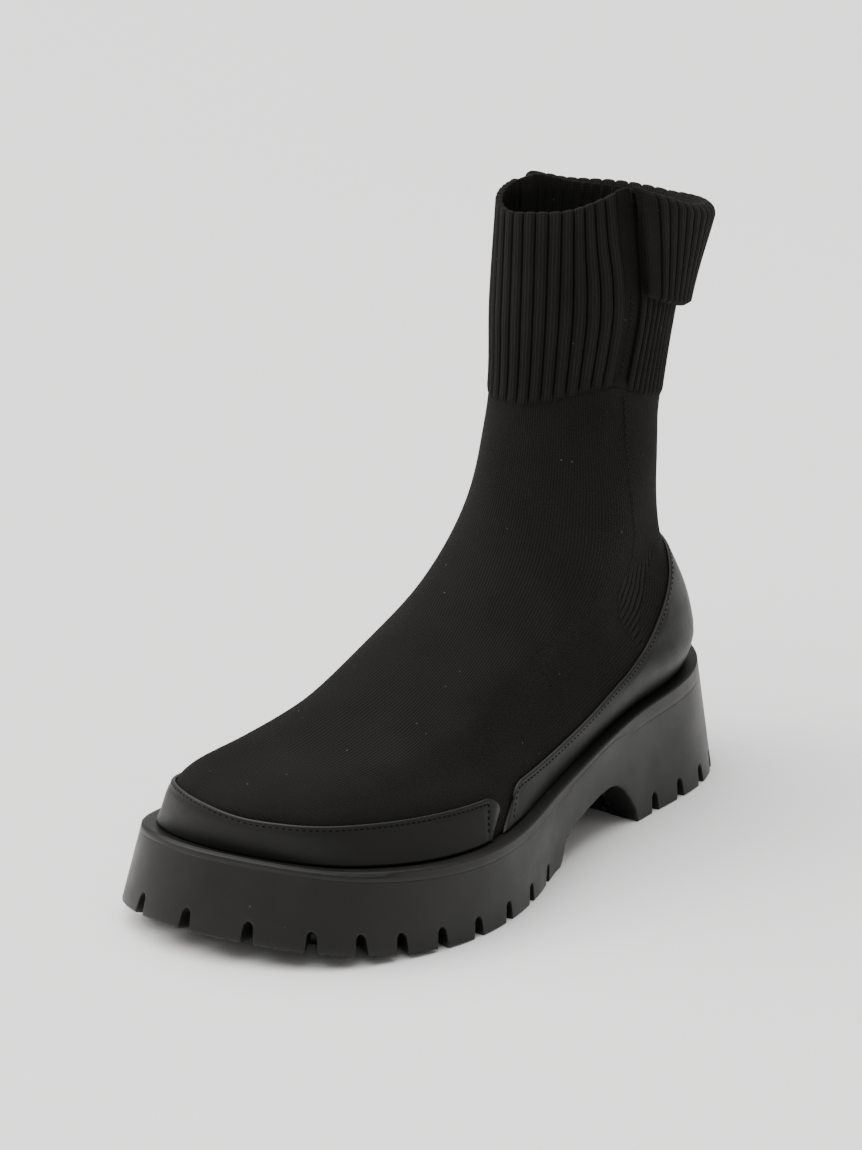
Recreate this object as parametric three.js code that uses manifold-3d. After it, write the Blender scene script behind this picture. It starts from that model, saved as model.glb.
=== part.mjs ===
// Knit sock boot for the left foot, standing on a chunky rubber sole with side notches.
// Millimetres, +Z up, toe towards -Y, outer (lateral) side towards +X.
// Around the boot an angle runs from the heel (0) over the lateral side (a quarter turn),
// the toe (half a turn) and the medial side back to the heel. A rise runs from the feather
// line, where the upper meets the sole (0), to the collar (1).
import * as THREE from "three";
import Module from "manifold-3d";

// Driving sizes
const LAST_LENGTH = 241.3; // heel to toe along the feather line
const BALL_BREADTH = 98; // across the feather line at the ball of the foot
const PLATFORM_HEIGHT = 27.3; // sole thickness under the ball
const HEEL_RISE = 15; // how much higher the sole's top lies at the heel
const TOE_SPRING = 9.1; // how far the toe curls up
const LEDGE_WIDTH = 6; // shelf of the sole outside the upper
const SIDE_FLARE = 5; // how far the sole's side leans out towards the ground
const ARCH_HEIGHT = 17.8; // tunnel between heel and forefoot
const UPPER_RISE = 178.2; // from the sole's top at the toe to the front of the collar
const ANKLE_HALF_BREADTH = 26; // half the breadth of the knit shaft above the ankle bones
const KNIT_THICKNESS = 2; // wall of the knit upper
const LASTING_MARGIN = 9; // knit turned in under the foot
const FIT_GAP = 0.3; // clearance between pieces that touch
const RIB_HEIGHT = 1.1; // cuff ribs over the grooves between them
const CROWN_STEP = 0.2; // the ribs' crowns stand over the plain knit
const RIB_COUNT = 46; // cuff ribs all round
const SEAM_LIFT = 11; // peak of the collar at its lateral seam
const FLAP_DEPTH = 37; // folded-over back of the cuff
const FLAP_GAP = 0.6; // air between flap and cuff ribs
const FLAP_THICKNESS = 2.4; // knit of the flap between its ribs
const FOXING_THICKNESS = 1.2; // smooth band round the foot
const INSOLE_THICKNESS = 3;
const INSOLE_INSET = 3.4; // insole edge in from the knit wall
const STEP_DROP = 3.4; // moulded line below the ledge
const STEP_DEPTH = 0.7;
const NOTCH_HEIGHT = 7; // slots in the sole's side
const NOTCH_WIDTH = 4.6;
const NOTCH_DEPTH = 13;

const TURN = 2 * Math.PI;
const DEGREE = Math.PI / 180;
const COLUMNS = 60; // facets round the foot
const RIB_STEPS = 3; // facets round one rib

// Feather line: half-breadths as shares of BALL_BREADTH, before the sine that closes the ends.
const FEATHER_COLUMNS = ["degrees", "lateral", "medial"];
const FEATHER = [
  [0, 0.55, 0.54],
  [30, 0.48, 0.49],
  [60, 0.38, 0.337],
  [90, 0.453, 0.255],
  [120, 0.673, 0.457],
  [140, 0.771, 0.606],
  [160, 0.854, 0.753],
  [180, 0.634, 0.756],
];
const TOE_SWING = -0.07; // toe tip towards the big toe, share of BALL_BREADTH

// The sole along its length: share from heel to toe, ledge height as shares of HEEL_RISE and of
// TOE_SPRING, and flare as a share of SIDE_FLARE.
const SOLE_COLUMNS = ["along", "heelRise", "spring", "flare"];
const SOLE = [
  [0.0, 1.0, 0.0, 1.14],
  [0.15, 0.8, 0.0, 0.85],
  [0.3, 0.66, 0.0, 0.35],
  [0.45, 0.34, 0.0, -0.7],
  [0.6, 0.02, 0.0, 0.05],
  [0.75, 0.0, 0.06, 0.38],
  [0.88, 0.0, 0.4, 0.95],
  [1.0, 0.0, 1.0, 1.7],
];
const SPRING_START = 0.7; // share of the sole's length where its bottom leaves the ground

// Roof of the arch: share of the sole's length, share of ARCH_HEIGHT.
const ARCH_COLUMNS = ["along", "height"];
const ARCH = [
  [0.288, 0.0],
  [0.293, 0.29],
  [0.305, 0.56],
  [0.32, 0.81],
  [0.336, 0.96],
  [0.352, 1.0],
  [0.378, 0.96],
  [0.41, 0.84],
  [0.442, 0.7],
  [0.462, 0.57],
  [0.472, 0.38],
  [0.477, 0.0],
];

// Rings of the upper. Each ring spans from a back point to a front point: places along are shares
// of LAST_LENGTH from the heel, rises are shares of UPPER_RISE over the sole's top. "shaft" blends
// the last's outline into the round shaft. Heel, waist, ball and toe scale the feather's breadth,
// rear, fore and swing are shares of ANKLE_HALF_BREADTH.
const RING_COLUMNS = [
  "rise", "back", "backRise", "front", "frontRise", "shaft",
  "heel", "waist", "ball", "toe", "rear", "fore", "swing",
];
const RINGS = [
  [0.0, 0.0, 0.0, 1.0, 0.0, 0.0, 1.0, 1.0, 1.0, 1.0, 1.15, 1.15, 0.0],
  [0.06, -0.008, 0.054, 1.003, 0.066, 0.0, 1.05, 1.13, 0.85, 0.86, 1.15, 1.15, 0.08],
  [0.13, -0.006, 0.105, 0.987, 0.091, 0.0, 1.03, 1.06, 0.72, 0.74, 1.15, 1.15, 0.09],
  [0.2, 0.005, 0.15, 0.945, 0.106, 0.0, 1.0, 0.98, 0.64, 0.54, 1.15, 1.15, 0.08],
  [0.28, 0.024, 0.195, 0.824, 0.131, 0.1, 0.98, 0.93, 0.6, 0.38, 1.15, 1.15, 0.09],
  [0.38, 0.046, 0.251, 0.668, 0.19, 0.35, 0.95, 0.85, 0.62, 0.36, 1.13, 1.13, 0.08],
  [0.5, 0.053, 0.318, 0.51, 0.285, 0.7, 0.9, 0.8, 0.58, 0.4, 1.08, 1.04, 0.04],
  [0.62, 0.058, 0.414, 0.393, 0.419, 0.93, 0.85, 0.8, 0.6, 0.45, 1.06, 1.02, 0.0],
  [0.75, 0.049, 0.519, 0.345, 0.63, 1.0, 0.8, 0.8, 0.6, 0.5, 1.03, 0.91, -0.06],
  [0.88, 0.012, 0.735, 0.333, 0.811, 1.0, 0.8, 0.8, 0.6, 0.5, 1.12, 0.97, -0.08],
  [1.0, -0.035, 0.889, 0.319, 1.0, 1.0, 0.8, 0.8, 0.6, 0.5, 1.3, 0.91, -0.13],
];
const CUFF_START = 0.75; // rise of the plain knit's end
const FEATHER_FADE = 0.28; // rise where the rings stop following the sole's waves

// Collar edge: lift over the last ring as a share of SEAM_LIFT.
const COLLAR_COLUMNS = ["degrees", "lift"];
const COLLAR = [
  [0, -0.08],
  [40, 0.05],
  [75, 0.35],
  [97, 0.75],
  [110, 1.0],
  [122, 0.68],
  [138, 0.3],
  [165, 0.1],
  [190, 0.0],
  [215, 0.14],
  [250, 0.42],
  [275, 0.54],
  [300, 0.31],
  [330, 0.15],
  [360, -0.08],
];
const SEAMS = { lateral: 104 * DEGREE, medial: 268 * DEGREE }; // plain bands between the ribs
const SEAM_HALF_ANGLE = 5.5 * DEGREE;
const SEAM_SINK = 0.6; // share of RIB_HEIGHT that the plain bands lie under the crowns

// Top edge of the foxing band, as a rise, the same on both sides of the boot.
const FOXING_COLUMNS = ["degrees", "top"];
const FOXING = [
  [0, 0.37],
  [20, 0.36],
  [32, 0.333],
  [40, 0.28],
  [47, 0.208],
  [57, 0.133],
  [73, 0.082],
  [90, 0.054],
  [104, 0.05],
  [130, 0.06],
  [148, 0.063],
  [162, 0.074],
  [180, 0.083],
];
// The band's two ends leave a slanted slot on the lateral side: angles at its bottom and top.
const TOE_END = { bottom: 113.2 * DEGREE, top: 108.4 * DEGREE };
const HEEL_END = { bottom: 109.3 * DEGREE, top: 103.6 * DEGREE };
const FOXING_CORNER = 3.4 * DEGREE; // rounded corner of the toe part

// Folded-over flap: section of the fold in offsets from the cuff and depths below the collar.
const FLAP_FRONT = 113 * DEGREE; // front edge at the fold, lateral side
const FLAP_BACK = -83 * DEGREE; // front edge at the fold, medial side
const FLAP_SLANT = 13 * DEGREE; // both edges lean back towards the hem
const FLAP_RIBS = 24;

// Side notches: angles round the sole, and how many there are between them.
const NOTCH_RUNS = [
  { from: 95.8, to: 155.5, count: 8 },
  { from: 166, to: 206, count: 4 },
  { from: 215, to: 263, count: 8 },
  { from: 27.5, to: 57, count: 4 },
  { from: 303, to: 332.5, count: 4 },
  { from: 0, to: 0, count: 1 },
];

const wasm = await Module();
wasm.setup();

// Reads a table with named columns into one list per column.
function columnsOf(names, rows) {
  return Object.fromEntries(names.map((name, i) => [name, rows.map((row) => row[i])]));
}

// Smooth curve through the points (xs, ys), with three-point slopes.
function smooth(xs, ys, x) {
  const last = xs.length - 1;
  let i = 0;
  while (i < last - 1 && x >= xs[i + 1]) i += 1;
  const step = (k) => xs[k + 1] - xs[k];
  const rate = (k) => (ys[k + 1] - ys[k]) / step(k);
  const slope = (k) => {
    if (k === 0) return rate(0);
    if (k === last) return rate(last - 1);
    return (rate(k - 1) * step(k) + rate(k) * step(k - 1)) / (step(k - 1) + step(k));
  };
  const h = step(i);
  const u = (x - xs[i]) / h;
  const start = (1 + 2 * u) * (1 - u) ** 2 * ys[i] + u * (1 - u) ** 2 * h * slope(i);
  const end = u * u * (3 - 2 * u) * ys[i + 1] + u * u * (u - 1) * h * slope(i + 1);
  return start + end;
}

const clamp = (value, low, high) => Math.min(Math.max(value, low), high);
const mix = (a, b, share) => a + (b - a) * share;

const feather = columnsOf(FEATHER_COLUMNS, FEATHER);
const sole = columnsOf(SOLE_COLUMNS, SOLE);
const arch = columnsOf(ARCH_COLUMNS, ARCH);
const rings = columnsOf(RING_COLUMNS, RINGS);
const collar = columnsOf(COLLAR_COLUMNS, COLLAR);
const foxing = columnsOf(FOXING_COLUMNS, FOXING);

// The last stands with its heel at y = 0 and its toe at -LAST_LENGTH.
const SOLE_HEEL = LEDGE_WIDTH + SIDE_FLARE * sole.flare[0];
const SOLE_TOE = -LAST_LENGTH - LEDGE_WIDTH - SIDE_FLARE * sole.flare[sole.flare.length - 1];
const SOLE_LENGTH = SOLE_HEEL - SOLE_TOE;

const alongSole = (y) => clamp((SOLE_HEEL - y) / SOLE_LENGTH, 0, 1);

// Height of the sole's top and of its bottom at a place along the boot.
function ledgeHeight(y) {
  const along = alongSole(y);
  const heel = HEEL_RISE * smooth(sole.along, sole.heelRise, along);
  return PLATFORM_HEIGHT + heel + TOE_SPRING * smooth(sole.along, sole.spring, along);
}

function groundHeight(y) {
  const share = clamp((alongSole(y) - SPRING_START) / (1 - SPRING_START), 0, 1);
  return TOE_SPRING * share * share;
}

// An angle folded to heel (0) to toe (half a turn), and the side it lies on.
function fold(angle) {
  const whole = ((angle % TURN) + TURN) % TURN;
  const lateral = whole <= Math.PI;
  return { half: lateral ? whole : TURN - whole, lateral };
}

const alongChord = (half) => (1 - Math.cos(half)) / 2;
const soleFlare = (angle) =>
  SIDE_FLARE * smooth(sole.along, sole.flare, alongChord(fold(angle).half));

function featherBreadth(half, lateral) {
  const side = lateral ? feather.lateral : feather.medial;
  return BALL_BREADTH * smooth(feather.degrees, side, half / DEGREE);
}

// Point of the feather line in plan.
function featherPoint(angle) {
  const { half, lateral } = fold(angle);
  const along = alongChord(half);
  const breadth = Math.sin(half) * featherBreadth(half, lateral);
  const x = TOE_SWING * BALL_BREADTH * along ** 3 + (lateral ? breadth : -breadth);
  return new THREE.Vector2(x, -LAST_LENGTH * along);
}

const PROBE = 1e-3;

// Outward direction of the feather line in plan.
function featherNormal(angle) {
  const run = featherPoint(angle + PROBE).sub(featherPoint(angle - PROBE)).normalize();
  return new THREE.Vector2(-run.y, run.x);
}

// Feather line moved outwards, as the sole's and the insole's edges are.
function outlinePoint(angle, out) {
  return featherPoint(angle).add(featherNormal(angle).multiplyScalar(out));
}

const HEEL_TOP = ledgeHeight(0);
const TOE_TOP = ledgeHeight(-LAST_LENGTH);
const BREADTH_STATIONS = [0, 60, 120, 180];

// Point on the outside of the plain upper.
function lastPoint(angle, rise) {
  const { half, lateral } = fold(angle);
  const at = (name) => smooth(rings.rise, rings[name], rise);
  const along = alongChord(half);
  const stations = [at("heel"), at("waist"), at("ball"), at("toe")];
  const scale = smooth(BREADTH_STATIONS, stations, half / DEGREE);
  const shaft = at("shaft");
  const foot = featherBreadth(half, lateral) * scale;
  const round = ANKLE_HALF_BREADTH * mix(at("rear"), at("fore"), along);
  const breadth = Math.sin(half) * mix(foot, round, shaft);
  const centre =
    TOE_SWING * BALL_BREADTH * along ** 3 * (1 - shaft) +
    ANKLE_HALF_BREADTH * at("swing") * along;
  const y = -LAST_LENGTH * mix(at("back"), at("front"), along);
  const chord = mix(HEEL_TOP + UPPER_RISE * at("backRise"),
    TOE_TOP + UPPER_RISE * at("frontRise"), along);
  const fade = clamp(1 - rise / FEATHER_FADE, 0, 1) ** 1.5;
  const wave = ledgeHeight(-LAST_LENGTH * along) - mix(HEEL_TOP, TOE_TOP, along);
  const cuff = clamp((rise - CUFF_START) / (1 - CUFF_START), 0, 1);
  const whole = (angle / DEGREE % 360 + 360) % 360;
  const lift = SEAM_LIFT * smooth(collar.degrees, collar.lift, whole) * cuff * cuff;
  return new THREE.Vector3(
    centre + (lateral ? breadth : -breadth), y, chord + fade * wave + lift + FIT_GAP);
}

// Point of the upper moved outwards along its own normal.
function upperPoint(angle, rise, out) {
  const point = lastPoint(angle, rise);
  if (out === 0) return point;
  const round = lastPoint(angle + PROBE, rise).sub(lastPoint(angle - PROBE, rise));
  const low = Math.max(rise - PROBE, 0);
  const high = Math.min(rise + PROBE, 1);
  const up = lastPoint(angle, high).sub(lastPoint(angle, low));
  return point.add(up.cross(round).normalize().multiplyScalar(out));
}

// Closed bodies are built from rings of points; rings of unlike counts are stitched by angle.
class Skin {
  constructor() {
    this.points = [];
    this.faces = [];
  }

  ring(angles, place) {
    const first = this.points.length;
    angles.forEach((angle, i) => this.points.push(place(angle, i)));
    return { first, angles };
  }

  face(a, b, c) {
    this.faces.push([a, b, c]);
  }

  // Joins two closed rings, the second above the first.
  join(low, high) {
    const a = low.angles;
    const b = high.angles;
    const spread = (list, k) => list[k % list.length] + TURN * Math.floor(k / list.length);
    let i = 0;
    let j = 0;
    while (i < a.length || j < b.length) {
      const lowAt = low.first + (i % a.length);
      const highAt = high.first + (j % b.length);
      const lowNext = i < a.length ? spread(a, i + 1) : Infinity;
      const highNext = j < b.length ? spread(b, j + 1) : Infinity;
      if (lowNext <= highNext) {
        this.face(lowAt, low.first + ((i + 1) % a.length), highAt);
        i += 1;
      } else {
        this.face(lowAt, high.first + ((j + 1) % b.length), highAt);
        j += 1;
      }
    }
  }

  // Closes a ring of mirrored angles with bands from side to side.
  cap(ring, upwards) {
    const count = ring.angles.length;
    const at = (k) => ring.first + ((k + count) % count);
    const put = (p, q, r) => (upwards ? this.face(p, r, q) : this.face(p, q, r));
    for (let k = 0; k < count / 2; k += 1) {
      const [right, left] = [at(k), at(-k)];
      const [nextRight, nextLeft] = [at(k + 1), at(-k - 1)];
      if (left !== right) put(right, left, nextRight);
      if (nextLeft !== nextRight) put(left, nextLeft, nextRight);
    }
  }

  // Sweeps a section along columns of points; the outline is the section laid flat.
  sweep(columns, outline) {
    const size = outline.length;
    for (const column of columns) this.points.push(...column);
    for (let i = 0; i + 1 < columns.length; i += 1)
      for (let k = 0; k < size; k += 1) {
        const a = i * size + k;
        const b = i * size + ((k + 1) % size);
        this.face(a, a + size, b);
        this.face(b, a + size, b + size);
      }
    const end = (columns.length - 1) * size;
    const flat = THREE.ShapeUtils.triangulateShape(outline, []);
    const turned = THREE.ShapeUtils.area(outline) < 0;
    for (const [a, p, q] of flat) {
      const [b, c] = turned ? [q, p] : [p, q];
      this.face(a, b, c);
      this.face(end + a, end + c, end + b);
    }
    return this;
  }

  solid() {
    const vertProperties = new Float32Array(this.points.flatMap((p) => [p.x, p.y, p.z]));
    const made = (faces) =>
      new wasm.Manifold(
        new wasm.Mesh({ numProp: 3, vertProperties, triVerts: new Uint32Array(faces.flat()) }));
    const body = made(this.faces);
    return body.volume() > 0 ? body : made(this.faces.map(([a, b, c]) => [a, c, b]));
  }
}

function angleList(count) {
  return Array.from({ length: count }, (_, i) => (TURN * i) / count);
}

const footAngles = angleList(COLUMNS);
const ribAngles = angleList(RIB_COUNT * RIB_STEPS);

// Height of the cuff's face over the plain knit: a groove, then a rib's flat crown, and
// between the two along the seams.
function ribAt(angle, index) {
  const seam = Object.values(SEAMS).some((at) => Math.abs(angle - at) < SEAM_HALF_ANGLE);
  const share = index % RIB_STEPS === 0 ? 0 : 1;
  return CROWN_STEP - RIB_HEIGHT * (seam ? SEAM_SINK : 1 - share);
}

const OUTER_RISES = [
  0.035, 0.075, 0.12, 0.165, 0.215, 0.27, 0.335, 0.405, 0.48, 0.56, 0.65, 0.75,
];
const CUFF_RISES = [0.753, 0.83, 0.91, 1];
const INNER_RISES = [1, 0.91, 0.83, 0.75, 0.65, 0.56, 0.47, 0.375, 0.285, 0.2, 0.125, 0.06];
const RIM_ROUND = 0.8; // rounding of the collar's edge

// Knit upper: margin under the foot, outside, ribbed cuff, collar edge, then down the inside.
function knitUpper() {
  const skin = new Skin();
  const margin = (inset, height) => (angle) => {
    const p = outlinePoint(angle, -inset);
    return new THREE.Vector3(p.x, p.y, ledgeHeight(p.y) + FIT_GAP + height);
  };
  const rows = [
    skin.ring(footAngles, margin(LASTING_MARGIN, 0)),
    skin.ring(footAngles, margin(0, 0)),
  ];
  for (const rise of OUTER_RISES) rows.push(skin.ring(footAngles, (a) => upperPoint(a, rise, 0)));
  for (const rise of CUFF_RISES)
    rows.push(skin.ring(ribAngles, (a, i) => {
      const p = upperPoint(a, rise, ribAt(a, i));
      if (rise === 1) p.z -= RIM_ROUND;
      return p;
    }));
  rows.push(skin.ring(ribAngles, (a, i) => {
    const p = upperPoint(a, 1, -KNIT_THICKNESS / 2);
    p.z += Math.max(ribAt(a, i), 0);
    return p;
  }));
  for (const rise of INNER_RISES)
    rows.push(skin.ring(footAngles, (a) => {
      const p = upperPoint(a, rise, -KNIT_THICKNESS);
      if (rise === 1) p.z -= RIM_ROUND;
      return p;
    }));
  rows.push(skin.ring(footAngles, margin(KNIT_THICKNESS, KNIT_THICKNESS)));
  rows.push(skin.ring(footAngles, margin(LASTING_MARGIN, KNIT_THICKNESS)));
  rows.forEach((row, k) => skin.join(row, rows[(k + 1) % rows.length]));
  return skin.solid();
}

// Rise of the place that lies a depth below the collar.
function riseBelow(angle, depth) {
  const top = lastPoint(angle, 1);
  let low = 0;
  let high = 1;
  while (high - low > PROBE) {
    const middle = (low + high) / 2;
    if (top.distanceTo(lastPoint(angle, middle)) > depth) low = middle;
    else high = middle;
  }
  return high;
}

// Back of the cuff, folded over outwards; its section hooks over the collar's edge.
function foldedFlap() {
  const inner = CROWN_STEP + FLAP_GAP;
  const outer = inner + FLAP_THICKNESS;
  const middle = (inner + outer) / 2;
  const bed = -KNIT_THICKNESS / 2;
  const round = FLAP_THICKNESS / 2;
  const section = [
    { out: bed, down: 3, ribs: 0 },
    { out: bed, down: -0.4, ribs: 0 },
    { out: inner * 0.4, down: -1.5, ribs: 0.5 },
    { out: middle, down: -1.1, ribs: 0.5 },
    { out: outer, down: 1.6, ribs: 1 },
    { out: outer, down: FLAP_DEPTH / 2, ribs: 1 },
    { out: outer, down: FLAP_DEPTH - round, ribs: 1 },
    { out: middle, down: FLAP_DEPTH, ribs: 0 },
    { out: inner, down: FLAP_DEPTH - round, ribs: 0 },
    { out: inner, down: 4, ribs: 0 },
  ];
  const place = (share, rib, { out, down, ribs }) => {
    const depth = clamp(down, 0, FLAP_DEPTH);
    const lean = (FLAP_SLANT * depth) / FLAP_DEPTH;
    const angle = mix(FLAP_FRONT - lean, FLAP_BACK + lean, share);
    const p = upperPoint(angle, riseBelow(angle, depth), out + ribs * RIB_HEIGHT * rib);
    p.z += depth - down;
    return p;
  };
  const facets = FLAP_RIBS * RIB_STEPS;
  const columns = Array.from({ length: facets + 1 }, (_, i) => {
    const rib = i % RIB_STEPS === 0 ? 0 : 1;
    return section.map((corner) => place(i / facets, rib, corner));
  });
  const outline = section.map(({ out, down }) => new THREE.Vector2(out, down));
  return new Skin().sweep(columns, outline).solid();
}

// Foxing band: a shell over the knit, kept where a wider strip reaches from the ledge to the
// band's top edge and from the lateral slot round the toe and the heel back to the slot.
function foxingBand() {
  const highest = Math.max(...foxing.top);
  const rises = [0, ...OUTER_RISES.filter((rise) => rise < highest + 0.05)];
  const shell = new Skin();
  const face = (out) => rises.map((rise) => shell.ring(footAngles, (angle) => {
    const p = upperPoint(angle, rise, out);
    p.z = Math.max(p.z, ledgeHeight(p.y) + 1.5 * FIT_GAP);
    return p;
  }));
  const rows = [...face(FIT_GAP), ...face(FIT_GAP + FOXING_THICKNESS).reverse()];
  rows.forEach((row, k) => shell.join(row, rows[(k + 1) % rows.length]));
  return shell.solid().intersect(foxingStrip());
}

// Cutter of the foxing band, thicker than the band on both sides.
function foxingStrip() {
  const steps = 3;
  const below = -4;
  const start = TOE_END.top;
  const end = HEEL_END.top + TURN;
  const inside = footAngles.flatMap((a) => [a, a + TURN])
    .filter((a) => a > start + 2 * FOXING_CORNER && a < end - 2 * DEGREE)
    .sort((a, b) => a - b);
  const corner = [0, 0.12, 0.45, 1].map((share) => start + FOXING_CORNER * share);
  const topAt = (angle) => {
    const top = smooth(foxing.degrees, foxing.top, fold(angle).half / DEGREE);
    const share = clamp((angle - start) / FOXING_CORNER, 0, 1);
    return top * mix(0.55, 1, Math.sqrt(1 - (1 - share) ** 2));
  };
  // Both ends lean: the lower a point of an end column is, the further it has moved along.
  const leanAt = (angle, height) => {
    const fromStart = clamp(1 - (angle - start) / (3 * FOXING_CORNER), 0, 1);
    const fromEnd = clamp(1 - (end - angle) / (3 * FOXING_CORNER), 0, 1);
    return (1 - height) *
      (fromStart * (TOE_END.bottom - TOE_END.top) + fromEnd * (HEEL_END.bottom - HEEL_END.top));
  };
  const heights = Array.from({ length: steps + 1 }, (_, k) => k / steps);
  const section = [
    ...heights.map((height) => new THREE.Vector2(-KNIT_THICKNESS / 2, height)),
    ...heights.reverse().map((height) => new THREE.Vector2(2.5 * FOXING_THICKNESS, height)),
  ];
  const columns = [...corner, ...inside, end].map((angle) => section.map(({ x, y }) => {
    const p = upperPoint(angle + leanAt(angle, y), topAt(angle) * y, x);
    if (y === 0) p.z += below;
    return p;
  }));
  return new Skin().sweep(columns, section).solid();
}

function insoleBoard() {
  const skin = new Skin();
  const edge = (height, trim) => (angle) => {
    const p = outlinePoint(angle, -KNIT_THICKNESS - INSOLE_INSET - trim);
    return new THREE.Vector3(p.x, p.y, ledgeHeight(p.y) + KNIT_THICKNESS + 2 * FIT_GAP + height);
  };
  const low = skin.ring(footAngles, edge(0, 0));
  const high = skin.ring(footAngles, edge(INSOLE_THICKNESS * 0.7, 0));
  const top = skin.ring(footAngles, edge(INSOLE_THICKNESS, INSOLE_THICKNESS * 0.3));
  skin.join(low, high);
  skin.join(high, top);
  skin.cap(low, false);
  skin.cap(top, true);
  return skin.solid();
}

// Rubber unit before its cuts: ledge, moulded step and flared side down to the ground.
function soleBlock() {
  const skin = new Skin();
  const onLedge = (out, drop) => (angle) => {
    const p = outlinePoint(angle, out);
    return new THREE.Vector3(p.x, p.y, ledgeHeight(p.y) - drop);
  };
  const onGround = (inset, height) => (angle) => {
    const p = outlinePoint(angle, LEDGE_WIDTH + soleFlare(angle) - inset);
    return new THREE.Vector3(p.x, p.y, groundHeight(p.y) + height);
  };
  const rows = [
    skin.ring(footAngles, onGround(1, 0)),
    skin.ring(footAngles, onGround(0, 1)),
    skin.ring(footAngles, onLedge(LEDGE_WIDTH + STEP_DEPTH, STEP_DROP + 0.8)),
    skin.ring(footAngles, onLedge(LEDGE_WIDTH, STEP_DROP)),
    skin.ring(footAngles, onLedge(LEDGE_WIDTH, 0.9)),
    skin.ring(footAngles, onLedge(LEDGE_WIDTH - 0.9, 0)),
  ];
  for (let k = 0; k + 1 < rows.length; k += 1) skin.join(rows[k], rows[k + 1]);
  skin.cap(rows[0], false);
  skin.cap(rows[rows.length - 1], true);
  return skin.solid();
}

// Tunnel between heel and forefoot, right across the sole.
function archTunnel() {
  const below = -5;
  const roof = ARCH.map((_, k) => new THREE.Vector2(
    SOLE_HEEL - SOLE_LENGTH * arch.along[k], ARCH_HEIGHT * arch.height[k]));
  const heelSill = roof[0];
  const toeSill = roof[roof.length - 1];
  const outline = [
    new THREE.Vector2(heelSill.x, below), ...roof, new THREE.Vector2(toeSill.x, below),
  ];
  const across = (x) => outline.map((p) => new THREE.Vector3(x, p.x, p.y));
  return new Skin().sweep([across(BALL_BREADTH), across(-BALL_BREADTH)], outline).solid();
}

// One side slot: narrower and rounded at the top, and running in towards the foot.
function sideNotch(angle) {
  const out = featherNormal(angle);
  const edge = outlinePoint(angle, LEDGE_WIDTH + soleFlare(angle));
  const ground = groundHeight(edge.y);
  const half = NOTCH_WIDTH / 2;
  const outline = [
    [-half * 1.1, -5],
    [half * 1.1, -5],
    [half, 0],
    [half * 0.72, NOTCH_HEIGHT * 0.8],
    [half * 0.35, NOTCH_HEIGHT],
    [-half * 0.35, NOTCH_HEIGHT],
    [-half * 0.72, NOTCH_HEIGHT * 0.8],
    [-half, 0],
  ].map(([side, height]) => new THREE.Vector2(side, height));
  const at = (depth) => outline.map((p) => new THREE.Vector3(
    edge.x - out.x * depth - out.y * p.x, edge.y - out.y * depth + out.x * p.x, ground + p.y));
  return new Skin().sweep([at(NOTCH_DEPTH), at(-8)], outline).solid();
}

function notchAngles() {
  return NOTCH_RUNS.flatMap(({ from, to, count }) =>
    Array.from({ length: count }, (_, k) =>
      DEGREE * (count > 1 ? mix(from, to, k / (count - 1)) : from)));
}

function rubberSole() {
  const cuts = notchAngles().map(sideNotch);
  return cuts.reduce((block, cut) => block.subtract(cut), soleBlock().subtract(archTunnel()));
}

function meshOf(name, body, color, roughness) {
  const { vertProperties, triVerts } = body.getMesh();
  const geometry = new THREE.BufferGeometry();
  geometry.setAttribute("position", new THREE.BufferAttribute(vertProperties, 3));
  geometry.setIndex(new THREE.BufferAttribute(triVerts, 1));
  geometry.computeVertexNormals();
  const material = new THREE.MeshStandardMaterial({ color, roughness, metalness: 0 });
  const mesh = new THREE.Mesh(geometry, material);
  mesh.name = name;
  return mesh;
}

const boot = new THREE.Group();
boot.add(
  meshOf("outsole", rubberSole(), "#232221", 0.55),
  meshOf("upper", knitUpper().add(foldedFlap()), "#201f1e", 0.95),
  meshOf("foxing", foxingBand(), "#2b2a29", 0.6),
  meshOf("insole", insoleBoard(), "#262524", 0.9),
);

// The origin is on the ground under the middle of the boot.
const box = new THREE.Box3().setFromObject(boot);
const middle = box.getCenter(new THREE.Vector3());
boot.position.set(-middle.x, -middle.y, -box.min.z);

export default boot;
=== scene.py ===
"""Black knit sock boot on a chunky rubber sole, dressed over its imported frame."""

import logging
from dataclasses import dataclass
from enum import Enum

import bpy
import numpy as np
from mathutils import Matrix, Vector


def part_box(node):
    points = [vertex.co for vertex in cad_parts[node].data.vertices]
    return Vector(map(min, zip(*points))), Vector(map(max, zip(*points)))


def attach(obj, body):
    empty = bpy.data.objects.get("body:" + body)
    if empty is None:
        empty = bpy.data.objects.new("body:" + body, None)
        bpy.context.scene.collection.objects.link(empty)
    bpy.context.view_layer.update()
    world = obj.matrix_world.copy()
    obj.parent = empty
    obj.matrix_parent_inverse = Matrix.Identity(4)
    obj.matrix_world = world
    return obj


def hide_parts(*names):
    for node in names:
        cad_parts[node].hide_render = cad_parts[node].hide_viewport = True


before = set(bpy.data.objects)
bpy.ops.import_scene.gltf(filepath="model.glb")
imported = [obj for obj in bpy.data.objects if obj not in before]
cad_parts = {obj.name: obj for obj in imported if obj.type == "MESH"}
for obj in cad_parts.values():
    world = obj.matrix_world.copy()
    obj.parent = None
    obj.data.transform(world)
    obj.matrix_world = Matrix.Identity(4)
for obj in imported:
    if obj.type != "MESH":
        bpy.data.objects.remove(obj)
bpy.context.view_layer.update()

log = logging.getLogger("boot")

MM = 0.001
TURN = 2 * np.pi


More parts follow.
